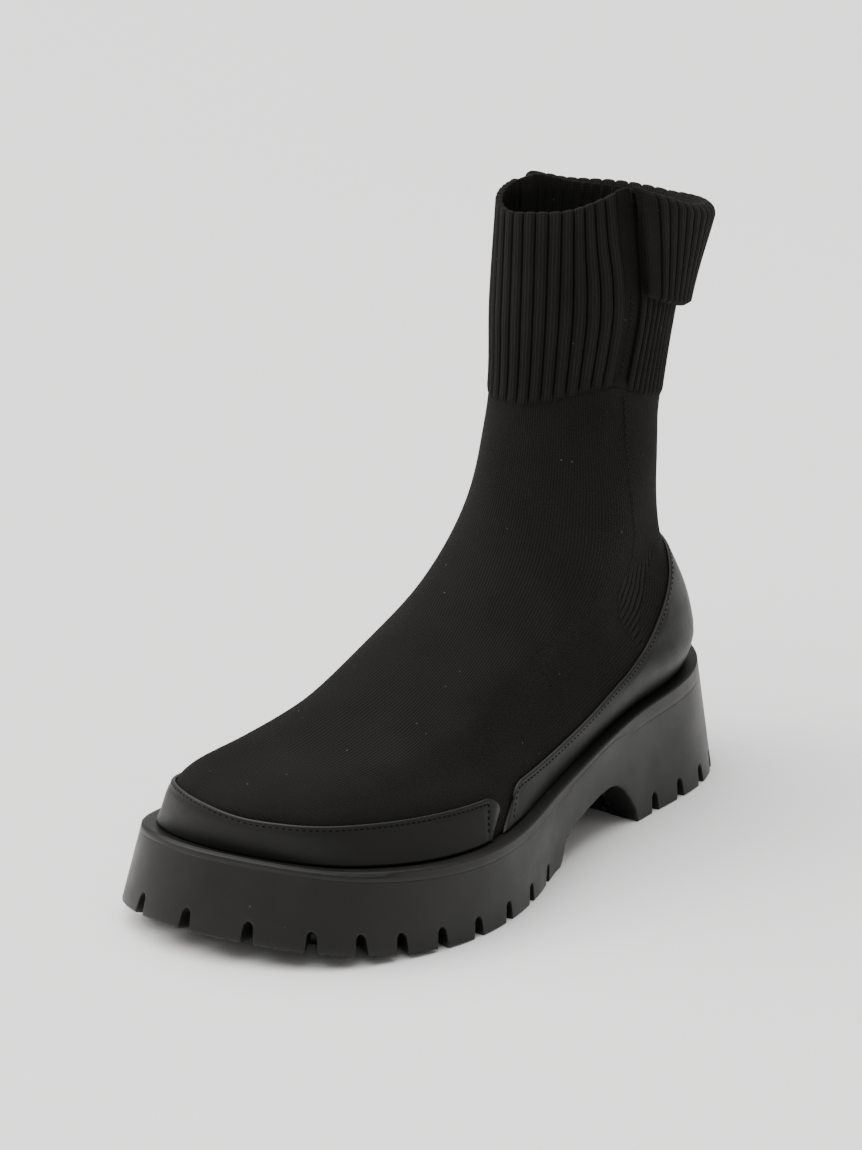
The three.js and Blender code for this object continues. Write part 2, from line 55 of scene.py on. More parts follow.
def hermite(knots: list, values: list, at: np.ndarray) -> np.ndarray:
    """Smooth curve through a table, with three-point slopes.

    Each stretch is a cubic between two knots, and its end slopes are the weighted means of the
    straight slopes on both sides.

    Args:
        knots: rising positions of the table's rows.
        values: one number or one row of numbers at each knot.
        at: positions to read, of any shape.

    Returns:
        The curve's values, with the rows' columns as a last axis where there are any.
    """
    x = np.asarray(knots, float)
    y = np.asarray(values, float)
    flat = y.ndim == 1
    y = y[:, None] if flat else y
    step = np.diff(x)[:, None]
    rate = np.diff(y, axis=0) / step
    slope = np.empty_like(y)
    slope[0], slope[-1] = rate[0], rate[-1]
    slope[1:-1] = (rate[:-1] * step[1:] + rate[1:] * step[:-1]) / (step[:-1] + step[1:])
    at = np.asarray(at, float)
    i = np.clip(np.searchsorted(x, at, side="right") - 1, 0, len(x) - 2)
    u = ((at - x[i]) / step[i, 0])[..., None]
    h = step[i]
    out = ((1 + 2 * u) * (1 - u) ** 2 * y[i] + u * (1 - u) ** 2 * h * slope[i]
           + u * u * (3 - 2 * u) * y[i + 1] + u * u * (u - 1) * h * slope[i + 1])
    return out[..., 0] if flat else out


def ease(value: np.ndarray, low: float, high: float) -> np.ndarray:
    """Soft step from 0 at low to 1 at high."""
    u = np.clip((np.asarray(value, float) - low) / (high - low), 0, 1)
    return u * u * (3 - 2 * u)


def mix(a: np.ndarray, b: np.ndarray, share: np.ndarray) -> np.ndarray:
    """Straight blend from a to b."""
    return a + (b - a) * share


@dataclass(frozen=True)
class Last:
    """Outside of the plain upper and the lines of the sole, in millimetres.

    The heel of the feather line is at y = 0 and its toe at y = -length. An angle runs from the
    heel (0) over the lateral side (a quarter turn), the toe and the medial side; a rise runs
    from the feather line (0) to the collar (1).
    """

    length: float = 241.3
    breadth: float = 98.0
    platform: float = 27.3
    heel_rise: float = 15.0
    toe_spring: float = 9.1
    ledge_width: float = 6.0
    flare_width: float = 5.0
    upper_rise: float = 178.2
    ankle: float = 26.0
    fit_gap: float = 0.3
    seam_lift: float = 11.0
    toe_swing: float = -0.07
    spring_start: float = 0.7
    cuff_start: float = 0.75
    wave_end: float = 0.28
    toe_bulge: float = 2.8
    bulge_angle: float = 211.0
    bulge_rise: float = 0.13
    bulge_spread: tuple = (24.0, 0.09)
    bulge_lean: tuple = (-0.6, 0.8)

    # degrees, lateral and medial half-breadth as shares of the breadth
    feather_rows = (
        (0, 0.55, 0.54), (30, 0.48, 0.49), (60, 0.38, 0.337), (90, 0.453, 0.255),
        (120, 0.673, 0.457), (140, 0.771, 0.606), (160, 0.854, 0.753), (180, 0.634, 0.756))
    # share from heel to toe, heel rise, spring, flare
    sole_rows = (
        (0.0, 1.0, 0.0, 1.14), (0.15, 0.8, 0.0, 0.85), (0.3, 0.66, 0.0, 0.35),
        (0.45, 0.34, 0.0, -0.7), (0.6, 0.02, 0.0, 0.05), (0.75, 0.0, 0.06, 0.38),
        (0.88, 0.0, 0.4, 0.95), (1.0, 0.0, 1.0, 1.7))
    # rise; back and front places and heights; shaft; heel, waist, ball, toe; rear, fore, swing
    ring_rows = (
        (0.0, 0.0, 0.0, 1.0, 0.0, 0.0, 1.0, 1.0, 1.0, 1.0, 1.15, 1.15, 0.0),
        (0.06, -0.008, 0.054, 1.003, 0.066, 0.0, 1.05, 1.13, 0.85, 0.86, 1.15, 1.15, 0.08),
        (0.13, -0.006, 0.105, 0.987, 0.091, 0.0, 1.03, 1.06, 0.72, 0.74, 1.15, 1.15, 0.09),
        (0.2, 0.005, 0.15, 0.945, 0.106, 0.0, 1.0, 0.98, 0.64, 0.54, 1.15, 1.15, 0.08),
        (0.28, 0.024, 0.195, 0.824, 0.131, 0.1, 0.98, 0.93, 0.6, 0.38, 1.15, 1.15, 0.09),
        (0.38, 0.046, 0.251, 0.668, 0.19, 0.35, 0.95, 0.85, 0.62, 0.36, 1.13, 1.13, 0.08),
        (0.5, 0.053, 0.318, 0.51, 0.285, 0.7, 0.9, 0.8, 0.58, 0.4, 1.08, 1.04, 0.04),
        (0.62, 0.058, 0.414, 0.393, 0.419, 0.93, 0.85, 0.8, 0.6, 0.45, 1.06, 1.02, 0.0),
        (0.75, 0.049, 0.519, 0.345, 0.63, 1.0, 0.8, 0.8, 0.6, 0.5, 1.03, 0.91, -0.06),
        (0.88, 0.012, 0.735, 0.333, 0.811, 1.0, 0.8, 0.8, 0.6, 0.5, 1.12, 0.97, -0.08),
        (1.0, -0.035, 0.889, 0.319, 1.0, 1.0, 0.8, 0.8, 0.6, 0.5, 1.3, 0.91, -0.13))
    # degrees, lift of the collar's edge
    collar_rows = (
        (0, -0.08), (40, 0.05), (75, 0.35), (97, 0.75), (110, 1.0), (122, 0.68), (138, 0.3),
        (165, 0.1), (190, 0.0), (215, 0.14), (250, 0.42), (275, 0.52), (300, 0.2),
        (330, 0.04), (360, -0.08))

    @property
    def sole_heel(self) -> float:
        """Place of the sole's rearmost point."""
        return self.ledge_width + self.flare_width * self.sole_rows[0][3]

    @property
    def sole_length(self) -> float:
        """Length of the sole over its flared edges."""
        toe = self.ledge_width + self.flare_width * self.sole_rows[-1][3]
        return self.sole_heel + self.length + toe

    def fold(self, angle: np.ndarray) -> tuple[np.ndarray, np.ndarray]:
        """Angle folded to heel (0) to toe (half a turn), and whether it is on the lateral side."""
        whole = np.mod(angle, TURN)
        lateral = whole <= np.pi
        return np.where(lateral, whole, TURN - whole), lateral

    def along(self, y: np.ndarray) -> np.ndarray:
        """Share of the sole's length, from heel to toe."""
        return np.clip((self.sole_heel - y) / self.sole_length, 0, 1)

    def ledge(self, y: np.ndarray) -> np.ndarray:
        """Height of the sole's top: platform, plus the heel's rise and the toe's spring."""
        table = np.array(self.sole_rows)
        row = hermite(table[:, 0], table[:, 1:3], self.along(y))
        return self.platform + self.heel_rise * row[..., 0] + self.toe_spring * row[..., 1]

    def ground(self, y: np.ndarray) -> np.ndarray:
        """Height of the sole's bottom: flat, then a parabola up to the toe."""
        share = np.clip((self.along(y) - self.spring_start) / (1 - self.spring_start), 0, 1)
        return self.toe_spring * share ** 2

    def flare(self, angle: np.ndarray) -> np.ndarray:
        """How far the sole's side leans out at its foot."""
        table = np.array(self.sole_rows)
        half, _ = self.fold(angle)
        return self.flare_width * hermite(table[:, 0], table[:, 3], (1 - np.cos(half)) / 2)

    def breadth_at(self, half: np.ndarray, lateral: np.ndarray) -> np.ndarray:
        """Half-breadth of the feather line before the sine that closes its ends."""
        table = np.array(self.feather_rows)
        both = hermite(table[:, 0], table[:, 1:], np.degrees(half))
        return self.breadth * np.where(lateral, both[..., 0], both[..., 1])

    def feather(self, angle: np.ndarray) -> np.ndarray:
        """Feather line in plan: sine times breadth, with the toe swung to the medial side."""
        half, lateral = self.fold(angle)
        along = (1 - np.cos(half)) / 2
        side = np.sin(half) * self.breadth_at(half, lateral)
        x = self.toe_swing * self.breadth * along ** 3 + np.where(lateral, side, -side)
        return np.stack([x, -self.length * along], -1)

    def outline(self, angle: np.ndarray, out: np.ndarray) -> np.ndarray:
        """Feather line moved outwards along its normal in plan."""
        probe = 1e-3
        run = self.feather(angle + probe) - self.feather(angle - probe)
        run /= np.linalg.norm(run, axis=-1, keepdims=True)
        normal = np.stack([-run[..., 1], run[..., 0]], -1)
        return self.feather(angle) + normal * np.asarray(out)[..., None]

    def plain(self, angle: np.ndarray, rise: np.ndarray) -> np.ndarray:
        """Outside of the plain upper.

        Each rise is a ring between a back point and a front point. Its breadth blends from the
        scaled feather line into the round shaft, and its height follows the chord between the
        two points plus the sole's wave, which fades, and the collar's lift. A soft bell-shaped
        bulge fills the toe's medial shoulder.
        """
        angle, rise = np.broadcast_arrays(np.asarray(angle, float), np.asarray(rise, float))
        table = np.array(self.ring_rows)
        r = hermite(table[:, 0], table[:, 1:], np.clip(rise, 0, 1))
        back, back_z, front, front_z, shaft = (r[..., k] for k in range(5))
        rear, fore, swing = (r[..., k] for k in range(9, 12))
        half, lateral = self.fold(angle)
        along = (1 - np.cos(half)) / 2
        weights = hermite([0, 60, 120, 180], np.eye(4), np.degrees(half))
        foot = self.breadth_at(half, lateral) * (weights * r[..., 5:9]).sum(-1)
        side = np.sin(half) * mix(foot, self.ankle * mix(rear, fore, along), shaft)
        centre = (self.toe_swing * self.breadth * along ** 3 * (1 - shaft)
                  + self.ankle * swing * along)
        y = -self.length * mix(back, front, along)
        heel_top = float(self.ledge(0.0))
        toe_top = float(self.ledge(-self.length))
        chord = mix(heel_top + self.upper_rise * back_z, toe_top + self.upper_rise * front_z, along)
        wave = self.ledge(-self.length * along) - mix(heel_top, toe_top, along)
        fade = np.clip(1 - rise / self.wave_end, 0, 1) ** 1.5
        cuff = np.clip((rise - self.cuff_start) / (1 - self.cuff_start), 0, 1)
        edge = np.array(self.collar_rows)
        degrees = np.degrees(np.mod(angle, TURN))
        lift = self.seam_lift * hermite(edge[:, 0], edge[:, 1], degrees)
        bulge = self.toe_bulge * ease(rise, 0, 0.05) * np.exp(
            -((degrees - self.bulge_angle) / self.bulge_spread[0]) ** 2
            - ((rise - self.bulge_rise) / self.bulge_spread[1]) ** 2)
        x = centre + np.where(lateral, side, -side) + self.bulge_lean[0] * bulge
        z = chord + fade * wave + lift * cuff ** 2 + self.fit_gap + self.bulge_lean[1] * bulge
        return np.stack([x, y, z], -1)

    def normal(self, angle: np.ndarray, rise: np.ndarray) -> np.ndarray:
        """Outward unit normal of the plain upper, from differences along rise and angle."""
        probe = 1.5e-3
        around = self.plain(angle + probe, rise) - self.plain(angle - probe, rise)
        above = self.plain(angle, np.minimum(rise + probe, 1))
        up = above - self.plain(angle, np.maximum(rise - probe, 0))
        n = np.cross(up, around)
        return n / np.linalg.norm(n, axis=-1, keepdims=True)

    def skin(self, angle: np.ndarray, rise: np.ndarray, out: np.ndarray) -> np.ndarray:
        """Plain upper moved outwards along its normal."""
        angle, rise = np.broadcast_arrays(np.asarray(angle, float), np.asarray(rise, float))
        return self.plain(angle, rise) + self.normal(angle, rise) * np.asarray(out)[..., None]

    def rise_below(self, angle: np.ndarray, depth: np.ndarray) -> np.ndarray:
        """Rise of the places that lie a depth below the collar, found by halving."""
        top = self.plain(angle, np.ones_like(angle))
        low = np.zeros_like(angle)
        high = np.ones_like(angle)
        for _ in range(12):
            middle = (low + high) / 2
            far = np.linalg.norm(top - self.plain(angle, middle), axis=-1) > depth
            low = np.where(far, middle, low)
            high = np.where(far, high, middle)
        return high

    def path(self, stops: list, pitch: float) -> tuple[np.ndarray, np.ndarray]:
        """Evenly spaced places along a line on the upper.

        Args:
            stops: the line as pairs of degrees and rise.
            pitch: distance between places.

        Returns:
            The places' angles and rises.
        """
        knots = np.array(stops, float)
        share = np.linspace(0, 1, 600)
        both = hermite(np.linspace(0, 1, len(knots)), knots, share)
        points = self.plain(np.radians(both[:, 0]), both[:, 1])
        reach = np.r_[0, np.cumsum(np.linalg.norm(np.diff(points, axis=0), axis=1))]
        count = max(int(round(reach[-1] / pitch)), 1)
        at = np.interp((np.arange(count) + 0.5) / count * reach[-1], reach, share)
        both = hermite(np.linspace(0, 1, len(knots)), knots, at)
        return np.radians(both[:, 0]), both[:, 1]


LAST = Last()


@dataclass
class Placing:
    """Moves the last's own millimetres into the frame: the two soles' middles coincide."""

    last: Last = LAST

    def __post_init__(self) -> None:
        angle = np.linspace(0, TURN, 721)
        plan = np.concatenate([
            self.last.outline(angle, self.last.ledge_width + self.last.flare(angle)),
            self.last.outline(angle, np.full_like(angle, self.last.ledge_width))])
        low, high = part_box("outsole")
        middle = (np.array(low) + np.array(high)) / 2 / MM
        self.shift = np.array([*(middle[:2] - (plan.min(0) + plan.max(0)) / 2), 0.0])

    def metres(self, points: np.ndarray) -> np.ndarray:
        """Points of the last in the frame's metres."""
        return (points + self.shift) * MM


PLACE = Placing()


@dataclass
class KnitCourses:
    """Wales and courses of the knitting over the foot and up the shaft.

    Planes turn about an axis in front of the instep, so they cut both foot and shaft square.
    Within a plane a wale is a fixed turn round the section's middle, and the plane's own angle
    counts the courses.
    """

    pivot_y: float = -235.0
    pivot_z: float = 225.0
    wales: int = 216
    course_pitch: float = 0.85
    course_radius: float = 195.0

    def __post_init__(self) -> None:
        angle = np.linspace(0, TURN, 241)[None, :]
        rise = np.linspace(0, 1, 160)[:, None]
        turn, reach, x = self.polar(LAST.plain(angle, rise).reshape(-1, 3))
        self.turns = np.linspace(turn.min(), turn.max(), 48)
        spans = []
        for at in self.turns:
            near = np.abs(turn - at) < 0.03
            spans.append([reach[near].min(), reach[near].max(), x[near].min(), x[near].max()])
        spans = np.array(spans)
        for _ in range(3):
            spans[1:-1] = (spans[:-2] + 2 * spans[1:-1] + spans[2:]) / 4
        self.spans = spans

    def polar(self, points: np.ndarray) -> tuple[np.ndarray, np.ndarray, np.ndarray]:
        """Turn and reach of points about the pivot, and their x."""
        y = points[..., 1] - self.pivot_y
        z = self.pivot_z - points[..., 2]
        return np.arctan2(y, z), np.hypot(y, z), points[..., 0]

    def coordinates(self, points: np.ndarray) -> np.ndarray:
        """Wale and course numbers of points, as pairs."""
        turn, reach, x = self.polar(points)
        near, far, left, right = (np.interp(turn, self.turns, self.spans[:, k]) for k in range(4))
        across = (x - (left + right) / 2) / np.maximum((right - left) / 2, 1)
        up = ((near + far) / 2 - reach) / np.maximum((far - near) / 2, 1)
        wale = np.arctan2(across, up) / TURN * self.wales
        return np.stack([wale, turn * self.course_radius / self.course_pitch], -1)


@dataclass
class Surface:
    """A mesh in the making: points in the last's millimetres and four-cornered faces."""

    points: np.ndarray
    quads: np.ndarray
    uv: np.ndarray | None = None
    wrap: float = 0.0
    marks: dict | None = None

    def outward(self) -> "Surface":
        """Turns every face round if the closed surface encloses a negative volume."""
        p = self.points[self.quads]
        volume = sum(
            np.einsum("ij,ij->i", p[:, 0], np.cross(p[:, a], p[:, b])).sum()
            for a, b in ((1, 2), (2, 3)))
        if volume < 0:
            self.quads = self.quads[:, ::-1]
        return self

    def object(self, name: str, material: bpy.types.Material) -> bpy.types.Object:
        """Makes the Blender object, shaded smooth.

        Args:
            name: name of the piece.
            material: its finish.

        Returns:
            The object, at the origin, linked to the scene.
        """
        mesh = bpy.data.meshes.new(name)
        mesh.vertices.add(len(self.points))
        mesh.vertices.foreach_set("co", PLACE.metres(self.points).astype(np.float32).ravel())
        mesh.loops.add(self.quads.size)
        mesh.loops.foreach_set("vertex_index", self.quads.astype(np.int32).ravel())
        mesh.polygons.add(len(self.quads))
        mesh.polygons.foreach_set("loop_start", np.arange(0, self.quads.size, 4, np.int32))
        mesh.polygons.foreach_set("use_smooth", np.ones(len(self.quads), bool))
        if self.uv is not None:
            corners = self.uv[self.quads]
            if self.wrap:
                u = corners[..., 0]
                split = (u.max(1) - u.min(1)) > self.wrap / 2
                u[split] += np.where(u[split] < 0, self.wrap, 0)
            layer = mesh.uv_layers.new(name="knit")
            layer.data.foreach_set("uv", corners.astype(np.float32).ravel())
        for key, value in (self.marks or {}).items():
            mark = mesh.attributes.new(key, "FLOAT", "POINT")
            mark.data.foreach_set("value", np.ascontiguousarray(value, np.float32).ravel())
        mesh.update(calc_edges=True)
        mesh.validate()
        piece = bpy.data.objects.new(name, mesh)
        bpy.context.scene.collection.objects.link(piece)
        mesh.materials.append(material)
        return piece


def grid(rows: int, columns: int, close_rows: bool, close_columns: bool) -> np.ndarray:
    """Faces of a grid of points laid row by row.

    Args:
        rows: number of rows.
        columns: points in a row.
        close_rows: whether the last row joins the first.
        close_columns: whether the last column joins the first.

    Returns:
        Corner numbers, four to a face.
    """
    i = np.arange(rows if close_rows else rows - 1)[:, None]
    j = np.arange(columns if close_columns else columns - 1)[None, :]
    a = i * columns + j
    b = ((i + 1) % rows) * columns + j
    c = ((i + 1) % rows) * columns + (j + 1) % columns
    d = i * columns + (j + 1) % columns
    return np.stack([a, b, c, d], -1).reshape(-1, 4)


def slab(outer: np.ndarray, inner: np.ndarray) -> tuple[np.ndarray, np.ndarray]:
    """Closed slab between two like grids of points.

    The two faces are the grids, and strips across the thickness join them along all four
    borders.

    Args:
        outer: points of the outer face, rows by columns by three.
        inner: points of the inner face.

    Returns:
        Points and faces.
    """
    rows, columns = outer.shape[:2]
    face = grid(rows, columns, False, False)
    count = rows * columns
    number = np.arange(count).reshape(rows, columns)
    rim = np.concatenate([number[0, :-1], number[:-1, -1], number[-1, :0:-1], number[:0:-1, 0]])
    after = np.roll(rim, -1)
    side = np.stack([rim, after, after + count, rim + count], -1)
    points = np.concatenate([outer.reshape(-1, 3), inner.reshape(-1, 3)])
    return points, np.concatenate([face, face[:, ::-1] + count, side])


class Graph:
    """A material's node tree, written as expressions."""

    def __init__(self, name: str) -> None:
        """Starts a material with its plain shader."""
        self.material = bpy.data.materials.new(name)
        self.material.use_nodes = True
        self.tree = self.material.node_tree
        self.shader = self.tree.nodes["Principled BSDF"]

    def node(self, kind: str, inputs: dict | None = None, **settings: object) -> bpy.types.Node:
        """Adds a node, sets its properties, and sets or links its inputs."""
        made = self.tree.nodes.new(kind)
        for key, value in settings.items():
            setattr(made, key, value)
        for key, value in (inputs or {}).items():
            self.feed(made.inputs[key], value)
        return made

    def feed(self, socket: bpy.types.NodeSocket, value: object) -> None:
        """Links a socket to an output, or sets it to a plain value."""
        if isinstance(value, bpy.types.NodeSocket):
            self.tree.links.new(value, socket)
        else:
            socket.default_value = value

    def math(self, operation: str, *values: object) -> bpy.types.NodeSocket:
        """Result of a Math node."""
        made = self.node("ShaderNodeMath", dict(enumerate(values)), operation=operation)
        return made.outputs[0]

    def ramp(self, value: object, low: float, high: float, to_low: float = 0.0,
             to_high: float = 1.0) -> bpy.types.NodeSocket:
        """Value mapped from one range into another and clamped."""
        made = self.node("ShaderNodeMapRange", {
            "Value": value, "From Min": low, "From Max": high, "To Min": to_low, "To Max": to_high})
        return made.outputs["Result"]

    def place(self) -> bpy.types.NodeSocket:
        """Coordinates of the object, which has its origin at the world's."""
        return self.node("ShaderNodeTexCoord").outputs["Object"]

    def noise(self, scale: float, detail: float) -> bpy.types.NodeSocket:
        """Grey noise on object coordinates, scale in turns per metre."""
        made = self.node("ShaderNodeTexNoise", {
            "Vector": self.place(), "Scale": scale, "Detail": detail})
        return made.outputs["Fac"]

    def blend(self, share: object, *colours: object) -> bpy.types.NodeSocket:
        """Colour between two colours, each an output or a plain colour."""
        made = self.node("ShaderNodeMix", data_type="RGBA")
        self.feed(made.inputs[0], share)
        for socket, colour in zip(made.inputs[6:8], colours):
            self.feed(socket, (*colour, 1) if isinstance(colour, tuple) else colour)
        return made.outputs[2]

    def mark(self, name: str) -> bpy.types.NodeSocket:
        """A mark that is stored on the mesh's points."""
        return self.node("ShaderNodeAttribute", attribute_name=name).outputs["Fac"]

    def specks(self, scale: float, size: float, rarity: float) -> bpy.types.NodeSocket:
        """Sparse round specks of lint or dust: 1 inside a speck."""
        cell = self.node("ShaderNodeTexVoronoi", {"Vector": self.place(), "Scale": scale})
        chosen = self.node("ShaderNodeSeparateColor", {0: cell.outputs["Color"]}).outputs[0]
        near = self.math("LESS_THAN", cell.outputs["Distance"], size)
        return self.math("MULTIPLY", near, self.math("LESS_THAN", chosen, rarity))

    def bump(self, height: object, strength: float, distance: float) -> bpy.types.NodeSocket:
        """Normal bent by a height."""
        made = self.node("ShaderNodeBump", {
            "Height": height, "Strength": strength, "Distance": distance})
        return made.outputs["Normal"]

    def finish(self, inputs: dict) -> bpy.types.Material:
        """Sets or links the shader's inputs, and returns the material."""
        for key, value in inputs.items():
            self.feed(self.shader.inputs[key], value)
        return self.material


@dataclass(frozen=True)
class KnitFinish:
    """Black wool-like knit: wales and courses from the knit's own coordinates."""

    name: str = "black_knit"
    dark: tuple = (0.0018, 0.0018, 0.0016)
    light: tuple = (0.0230, 0.0224, 0.0206)
    lint: tuple = (0.07, 0.068, 0.062)
    depth: float = 0.00035
    sheen: float = 0.008

    def make(self) -> bpy.types.Material:
        """Builds the material: each wale is a soft cord crossed by slanting stitches, with painted
        shade in the yarn's hollows and the rib grooves.
        """
        g = Graph(self.name)
        place = g.node("ShaderNodeUVMap", uv_map="knit").outputs["UV"]
        split = g.node("ShaderNodeSeparateXYZ", {0: place})
        wander = g.ramp(g.noise(160.0, 2.0), 0.0, 1.0, -0.25, 0.25)
        u = g.math("ADD", split.outputs[0], wander)
        slant = g.math("ABSOLUTE", g.math("SUBTRACT", g.math("FRACT", u), 0.5))  # V of a stitch
        v = g.math("ADD", split.outputs[1], slant)
        wale = g.math("COSINE", g.math("MULTIPLY", u, TURN))
        stitch = g.math("SINE", g.math("MULTIPLY", v, TURN))
        fuzz = g.noise(2600.0, 3.0)
        height = g.math("ADD", g.math("MULTIPLY", wale, -0.25), g.math("MULTIPLY", stitch, 0.16))
        height = g.math("ADD", height, g.math("MULTIPLY", fuzz, 0.55))
        rib = g.math("COSINE", g.math("MULTIPLY", split.outputs[0], TURN / 2))
        leaf = g.math("MULTIPLY", g.mark("leaf"), 0.5)
        height = g.math("ADD", height, g.math("MULTIPLY", rib, leaf))
        patch = g.noise(38.0, 3.0)
        # painted shade and highlight: the colour follows the yarn's bump height, lighter on raised yarn
        # and darker in its hollows. The large noise adds random tone.
        tone = g.math("ADD", g.math("MULTIPLY", height, 0.55), g.math("MULTIPLY", patch, 0.35))
        # painted shade: the crest mark darkens the colour, down to 0.12 in the rib grooves. It also
        # dims the seam bands, lining and insole, and leaves the rib crests lightest.
        groove = g.ramp(g.mark("painted_shade"), 0.0, 1.0, 0.12, 1.0)
        tone = g.math("MULTIPLY", g.ramp(tone, -0.1, 0.75), groove)
        colour = g.blend(tone, self.dark, self.light)
        colour = g.blend(g.specks(420.0, 0.12, 0.03), colour, self.lint)
        return g.finish({
            "Base Color": colour, "Normal": g.bump(height, 0.9, self.depth), "Roughness": 0.9,
            "Specular IOR Level": 0.06, "Sheen Weight": self.sheen, "Sheen Roughness": 0.45,
            "Sheen Tint": (1.0, 0.95, 0.9, 1)})


@dataclass(frozen=True)
class FoxingFinish:
    """Smooth matte synthetic leather, paler along its edges."""

    name: str = "smooth_foxing"
    dark: tuple = (0.0045, 0.0044, 0.0041)
    light: tuple = (0.0085, 0.0083, 0.0077)
    edge: tuple = (0.05, 0.0485, 0.045)
    dust: tuple = (0.06, 0.058, 0.052)
    depth: float = 0.00012

    def make(self) -> bpy.types.Material:
        """Builds the material: fine pores, faint clouding, and the edge from its mark."""
        g = Graph(self.name)
        pores = g.node("ShaderNodeTexVoronoi", {"Vector": g.place(), "Scale": 1700.0})
        colour = g.blend(g.noise(45.0, 4.0), self.dark, self.light)
        # paler along the band's top edge and ends, by the edge mark
        colour = g.blend(g.mark("edge"), colour, self.edge)
        colour = g.blend(g.specks(300.0, 0.1, 0.02), colour, self.dust)
        rough = g.ramp(g.noise(120.0, 3.0), 0.2, 0.8, 0.42, 0.54)
        pitted = g.math("MULTIPLY", pores.outputs["Distance"], 0.5)
        height = g.math("ADD", pitted, g.noise(900.0, 2.0))
        return g.finish({
            "Base Color": colour, "Roughness": rough, "Specular IOR Level": 0.18,
            "Normal": g.bump(height, 0.35, self.depth)})


@dataclass(frozen=True)
class RubberFinish:
    """Satin black moulded rubber with a little dust."""

    name: str = "moulded_rubber"
    dark: tuple = (0.0070, 0.0068, 0.0064)
    light: tuple = (0.0112, 0.0109, 0.0102)
    edge: tuple = (0.02, 0.0195, 0.018)
    dust: tuple = (0.04, 0.039, 0.036)
    edge_paling: float = 0.22
    depth: float = 0.00015

    def make(self) -> bpy.types.Material:
        """Builds the material: clouded black, uneven satin, specks of dust."""
        g = Graph(self.name)
        colour = g.blend(g.noise(30.0, 5.0), self.dark, self.light)
        # paler along the ledge's rounded outer edge, by the edge mark
        colour = g.blend(g.math("MULTIPLY", g.mark("edge"), self.edge_paling), colour, self.edge)
        colour = g.blend(g.specks(260.0, 0.1, 0.06), colour, self.dust)
        rough = g.ramp(g.noise(70.0, 5.0), 0.25, 0.75, 0.36, 0.5)
        waves = g.math("MULTIPLY", g.noise(60.0, 2.0), 1.5)
        height = g.math("ADD", g.noise(1400.0, 3.0), waves)
        return g.finish({
            "Base Color": colour, "Roughness": rough, "Specular IOR Level": 0.24,
            "Normal": g.bump(height, 0.25, self.depth)})


@dataclass(frozen=True)
class ThreadFinish:
    """Twisted sewing thread."""

    name: str = "sewing_thread"
    dark: tuple = (0.001, 0.001, 0.001)
    light: tuple = (0.0045, 0.0044, 0.004)

    def make(self) -> bpy.types.Material:
        """Builds the material: two tones by fine noise, and a fine bump."""
        g = Graph(self.name)
        fibre = g.noise(3200.0, 2.0)
        return g.finish({
            "Base Color": g.blend(fibre, self.dark, self.light), "Roughness": 0.8,
            "Specular IOR Level": 0.08, "Normal": g.bump(fibre, 0.6, 0.0001)})


@dataclass
class Ribs:
    """Ribs of the cuff: cords side by side between the two seams.

    A rib's height is the root of one minus the cubed distance from its middle, so it is round
    on top and meets its neighbour in a sharp groove.
    """

    front_count: int = 19
    back_count: int = 30
    seam_lateral: float = 104.0
    seam_medial: float = 268.0
    seam_half: float = 5.6
    rib_wales: int = 4
    seam_wales: int = 10
    seam_heights: tuple = (0.0, -0.14, -0.2, -0.22, -0.2, -0.14)
    measured_rise: float = 0.88
    steps: tuple = (0.0, 0.07, 0.17, 0.31, 0.5, 0.69, 0.83, 0.93, 0.975)

    def height(self, place: np.ndarray) -> np.ndarray:
        """Height of a rib at a place across it, 0 to 1."""
        return np.sqrt(np.clip(1 - np.abs(2 * place - 1) ** 3, 0, 1))

    def columns(self) -> tuple[np.ndarray, np.ndarray, np.ndarray]:
        """Angles of the cuff's columns, and the rib height and the wale number there.

        The height is below 0 in the two seams' plain bands. Every rib is four wales wide.
        """
        angle = np.linspace(0, 2 * TURN, 2881)
        points = LAST.plain(angle, np.full_like(angle, self.measured_rise))
        reach = np.r_[0, np.cumsum(np.linalg.norm(np.diff(points, axis=0), axis=1))]
        seams = (self.seam_lateral, self.seam_medial, 360 + self.seam_lateral)
        spans = [
            (seams[k] + self.seam_half, seams[k + 1] - self.seam_half, count)
            for k, count in enumerate((self.front_count, self.back_count))]
        angles, heights, wales = [], [], []
        start = 0.0
        for first, last, count in spans:
            low, high = np.interp(np.radians([first, last]), angle, reach)
            place = (np.arange(count)[:, None] + np.array(self.steps)[None, :]).ravel()
            angles.append(np.interp(mix(low, high, place / count), reach, angle))
            heights.append(self.height(np.mod(place, 1)))
            wales.append(start + self.rib_wales * place)
            start += self.rib_wales * count
            across = np.linspace(0, 1, 7)[:-1]
            angles.append(np.radians(last + 2 * self.seam_half * across))
            heights.append(np.array(self.seam_heights))
            wales.append(start + self.seam_wales * across)
            start += self.seam_wales
        angle = np.mod(np.concatenate(angles), TURN)
        order = np.argsort(angle)
        wale = np.concatenate(wales)[order]
        return angle[order], np.concatenate(heights)[order], start / 2 - np.mod(wale - wale[0], start)


def seam_drift(angle: np.ndarray, rise: np.ndarray) -> np.ndarray:
    """How far the columns near the two seams lean at each rise, in radians.

    The seam leans forwards towards the collar and a little back at mid-cuff, and the lean fades
    a quarter of the way round on each side.
    """
    lean = hermite([0.0, 0.74, 0.78, 0.83, 0.87, 0.91, 0.95, 1.0],
                   [0.0, -1.5, -2.6, -4.6, -5.0, -2.0, 3.0, 7.2], rise)
    reach = 46.0
    degrees = np.degrees(np.mod(angle, TURN))
    lateral, medial = (
        np.cos(np.clip((degrees - seam) / reach, -1, 1) * np.pi / 2) ** 2
        for seam in (Ribs.seam_lateral, Ribs.seam_medial))
    return np.radians(lean * lateral - 0.5 * lean * medial)


